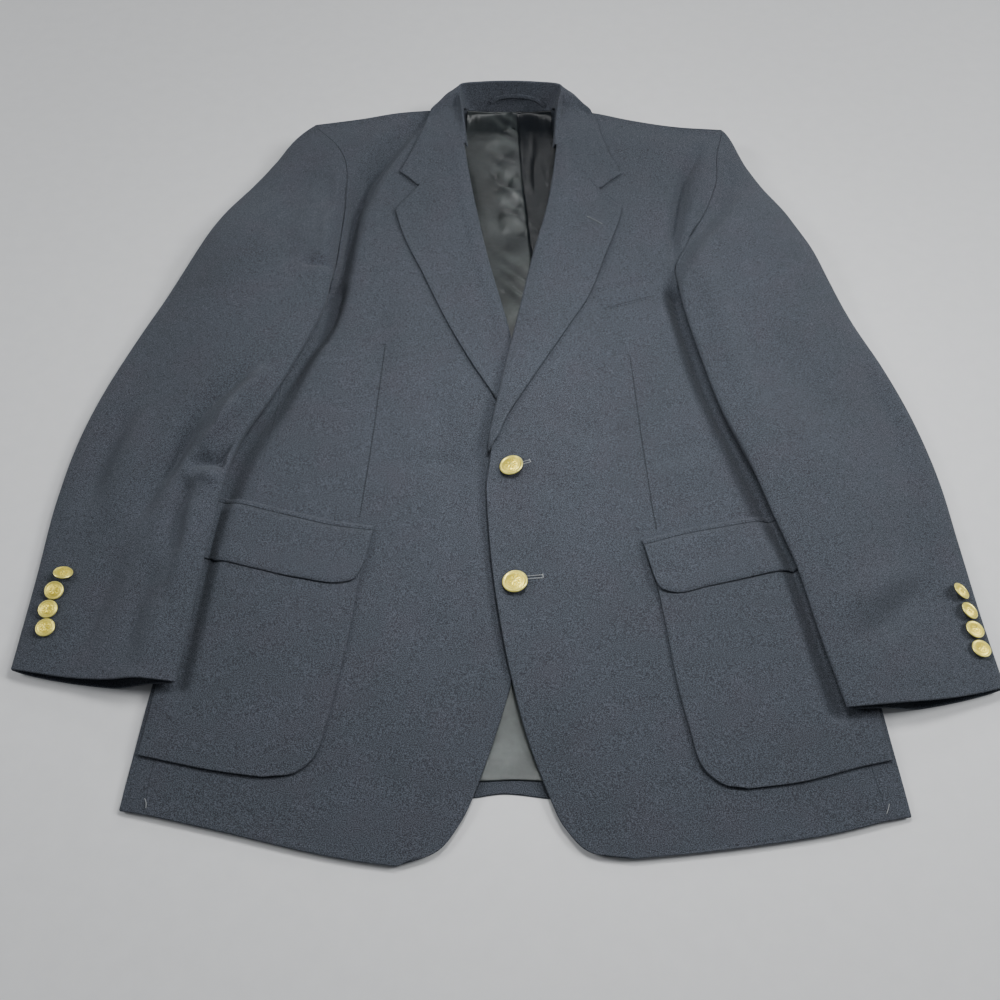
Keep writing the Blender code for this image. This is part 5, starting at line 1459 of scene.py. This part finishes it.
class BLAZER_OT_sewing(bpy.types.Operator):
    """Build the buttonholes and the loose tacks of thread at the hem"""
    bl_idname = "blazer.sewing"
    bl_label = "Buttonholes and threads"

    def execute(self, context):
        level = 0.5 * CLOTH + 0.0002
        for name, half, *ends in BUTTONHOLES:
            t, line, way, across = seam_line(ends, 40)
            wave = (0.00018 * np.sin(2 * np.pi * 16 * t))[:, None] * across
            rise = level + 0.00012 * np.cos(90 * t)
            paths = [on_front(line + sign * half * across + wave, 1, rise) for sign in (-1, 1)]
            bar = np.linspace(-1.25, 1.9, 14)[:, None] * half * across
            paths.append(on_front(np.array(ends[1]) + 0.0003 * way + bar, 1, level + 0.0002))
            strands("buttonhole_" + name, paths, 0.00033, "pale_thread")
        t, line, way, across = seam_line(LAPEL_HOLE, 48)
        bow = 0.0006 * (1 - (2 * t - 1) ** 4)
        wave = (0.00015 * np.sin(2 * np.pi * 18 * t))[:, None] * across
        rise = FACE_LAYER + 0.5 * FACING + 0.0006 + 0 * t
        paths = [on_front(line + sign * bow[:, None] * across + wave, 1, rise) for sign in (-1, 1)]
        strands("buttonhole_lapel", paths, 0.00032, "grey_thread")
        paths = []
        for side, ends in TACKS.items():
            t, line, way, across = seam_line(ends, 16)
            bow = (0.0006 * np.sin(np.pi * t))[:, None]
            paths.append(on_front(line + bow, side, 0.5 * CLOTH + 0.0005 + 0 * t))
        strands("hem_tacks", paths, 0.00024, "pale_thread")
        return {"FINISHED"}


class BLAZER_OT_stage(bpy.types.Operator):
    """Lay the floor and set the lights and the camera"""
    bl_idname = "blazer.stage"
    bl_label = "Stage"

    def execute(self, context):
        scene = context.scene
        stage = scene.blazer_stage
        half = 0.5 * stage.floor
        corners = np.array([(-half, -half, 0), (half, -half, 0), (half, half, 0), (-half, half, 0)])
        floor = mesh_object("floor", corners, [(0, 1, 2, 3)])
        made = Finish("pale_floor", (0.74, 0.75, 0.76, 1.0), 0.6)
        grain = made.noise(60.0, 3.0, 0.6)
        made.shade({"Base Color": made.ramp(grain, (0.3, (0.73, 0.74, 0.75, 1)),
                                            (0.7, (0.76, 0.77, 0.78, 1)))})
        floor.data.materials.append(made.material)
        world = bpy.data.worlds.new("room")
        world.use_nodes = True
        around = world.node_tree.nodes["Background"]
        around.inputs["Color"].default_value = (0.92, 0.95, 1.0, 1.0)
        around.inputs["Strength"].default_value = stage.fill
        scene.world = world
        for name, place, turn, size, share in LAMPS:
            light = bpy.data.lights.new(name, "AREA")
            light.shape = "DISK"
            light.size = size
            light.energy = share * stage.key
            lamp = bpy.data.objects.new(name, light)
            lamp.location = place
            lamp.rotation_euler = Euler(tuple(np.radians(turn)))
            scene.collection.objects.link(lamp)
        lens = bpy.data.cameras.new("camera")
        lens.sensor_width = lens.lens = 36.0
        lens.clip_start = 0.01
        camera = bpy.data.objects.new("camera", lens)
        camera.location = np.array(CAMERA_AT) - MIDDLE
        camera.rotation_euler = (np.radians(90.0 - CAMERA_DOWN), 0.0, 0.0)
        scene.collection.objects.link(camera)
        scene.camera = camera
        return {"FINISHED"}


STEPS = (BLAZER_OT_stage, BLAZER_OT_body, BLAZER_OT_lining, BLAZER_OT_collar, BLAZER_OT_sleeves,
         BLAZER_OT_pockets, BLAZER_OT_buttons, BLAZER_OT_sewing)


class BLAZER_PT_panel(bpy.types.Panel):
    """Steps and settings of the blazer"""
    bl_idname = "BLAZER_PT_panel"
    bl_label = "Blazer"
    bl_space_type = "VIEW_3D"
    bl_region_type = "UI"
    bl_category = "Blazer"

    def draw(self, context):
        column = self.layout.column()
        scene = context.scene
        for group in (scene.blazer_cloth, scene.blazer_look, scene.blazer_stage):
            for key in group.bl_rna.properties.keys():
                if key not in {"rna_type", "name"}:
                    column.prop(group, key)
        for step in STEPS:
            column.operator(step.bl_idname)


CLASSES = (BlazerCloth, BlazerLook, BlazerStage) + STEPS + (BLAZER_PT_panel,)


def register():
    for each in CLASSES:
        bpy.utils.register_class(each)
    bpy.types.Scene.blazer_cloth = bpy.props.PointerProperty(type=BlazerCloth)
    bpy.types.Scene.blazer_look = bpy.props.PointerProperty(type=BlazerLook)
    bpy.types.Scene.blazer_stage = bpy.props.PointerProperty(type=BlazerStage)


def unregister():
    del bpy.types.Scene.blazer_stage
    del bpy.types.Scene.blazer_look
    del bpy.types.Scene.blazer_cloth
    for each in reversed(CLASSES):
        bpy.utils.unregister_class(each)


def main():
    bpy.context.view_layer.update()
    register()
    bpy.ops.blazer.stage()
    bpy.ops.blazer.body()
    bpy.ops.blazer.lining()
    bpy.ops.blazer.collar()
    bpy.ops.blazer.sleeves()
    bpy.ops.blazer.pockets()
    bpy.ops.blazer.buttons()
    bpy.ops.blazer.sewing()


if __name__ == "__main__":
    main()
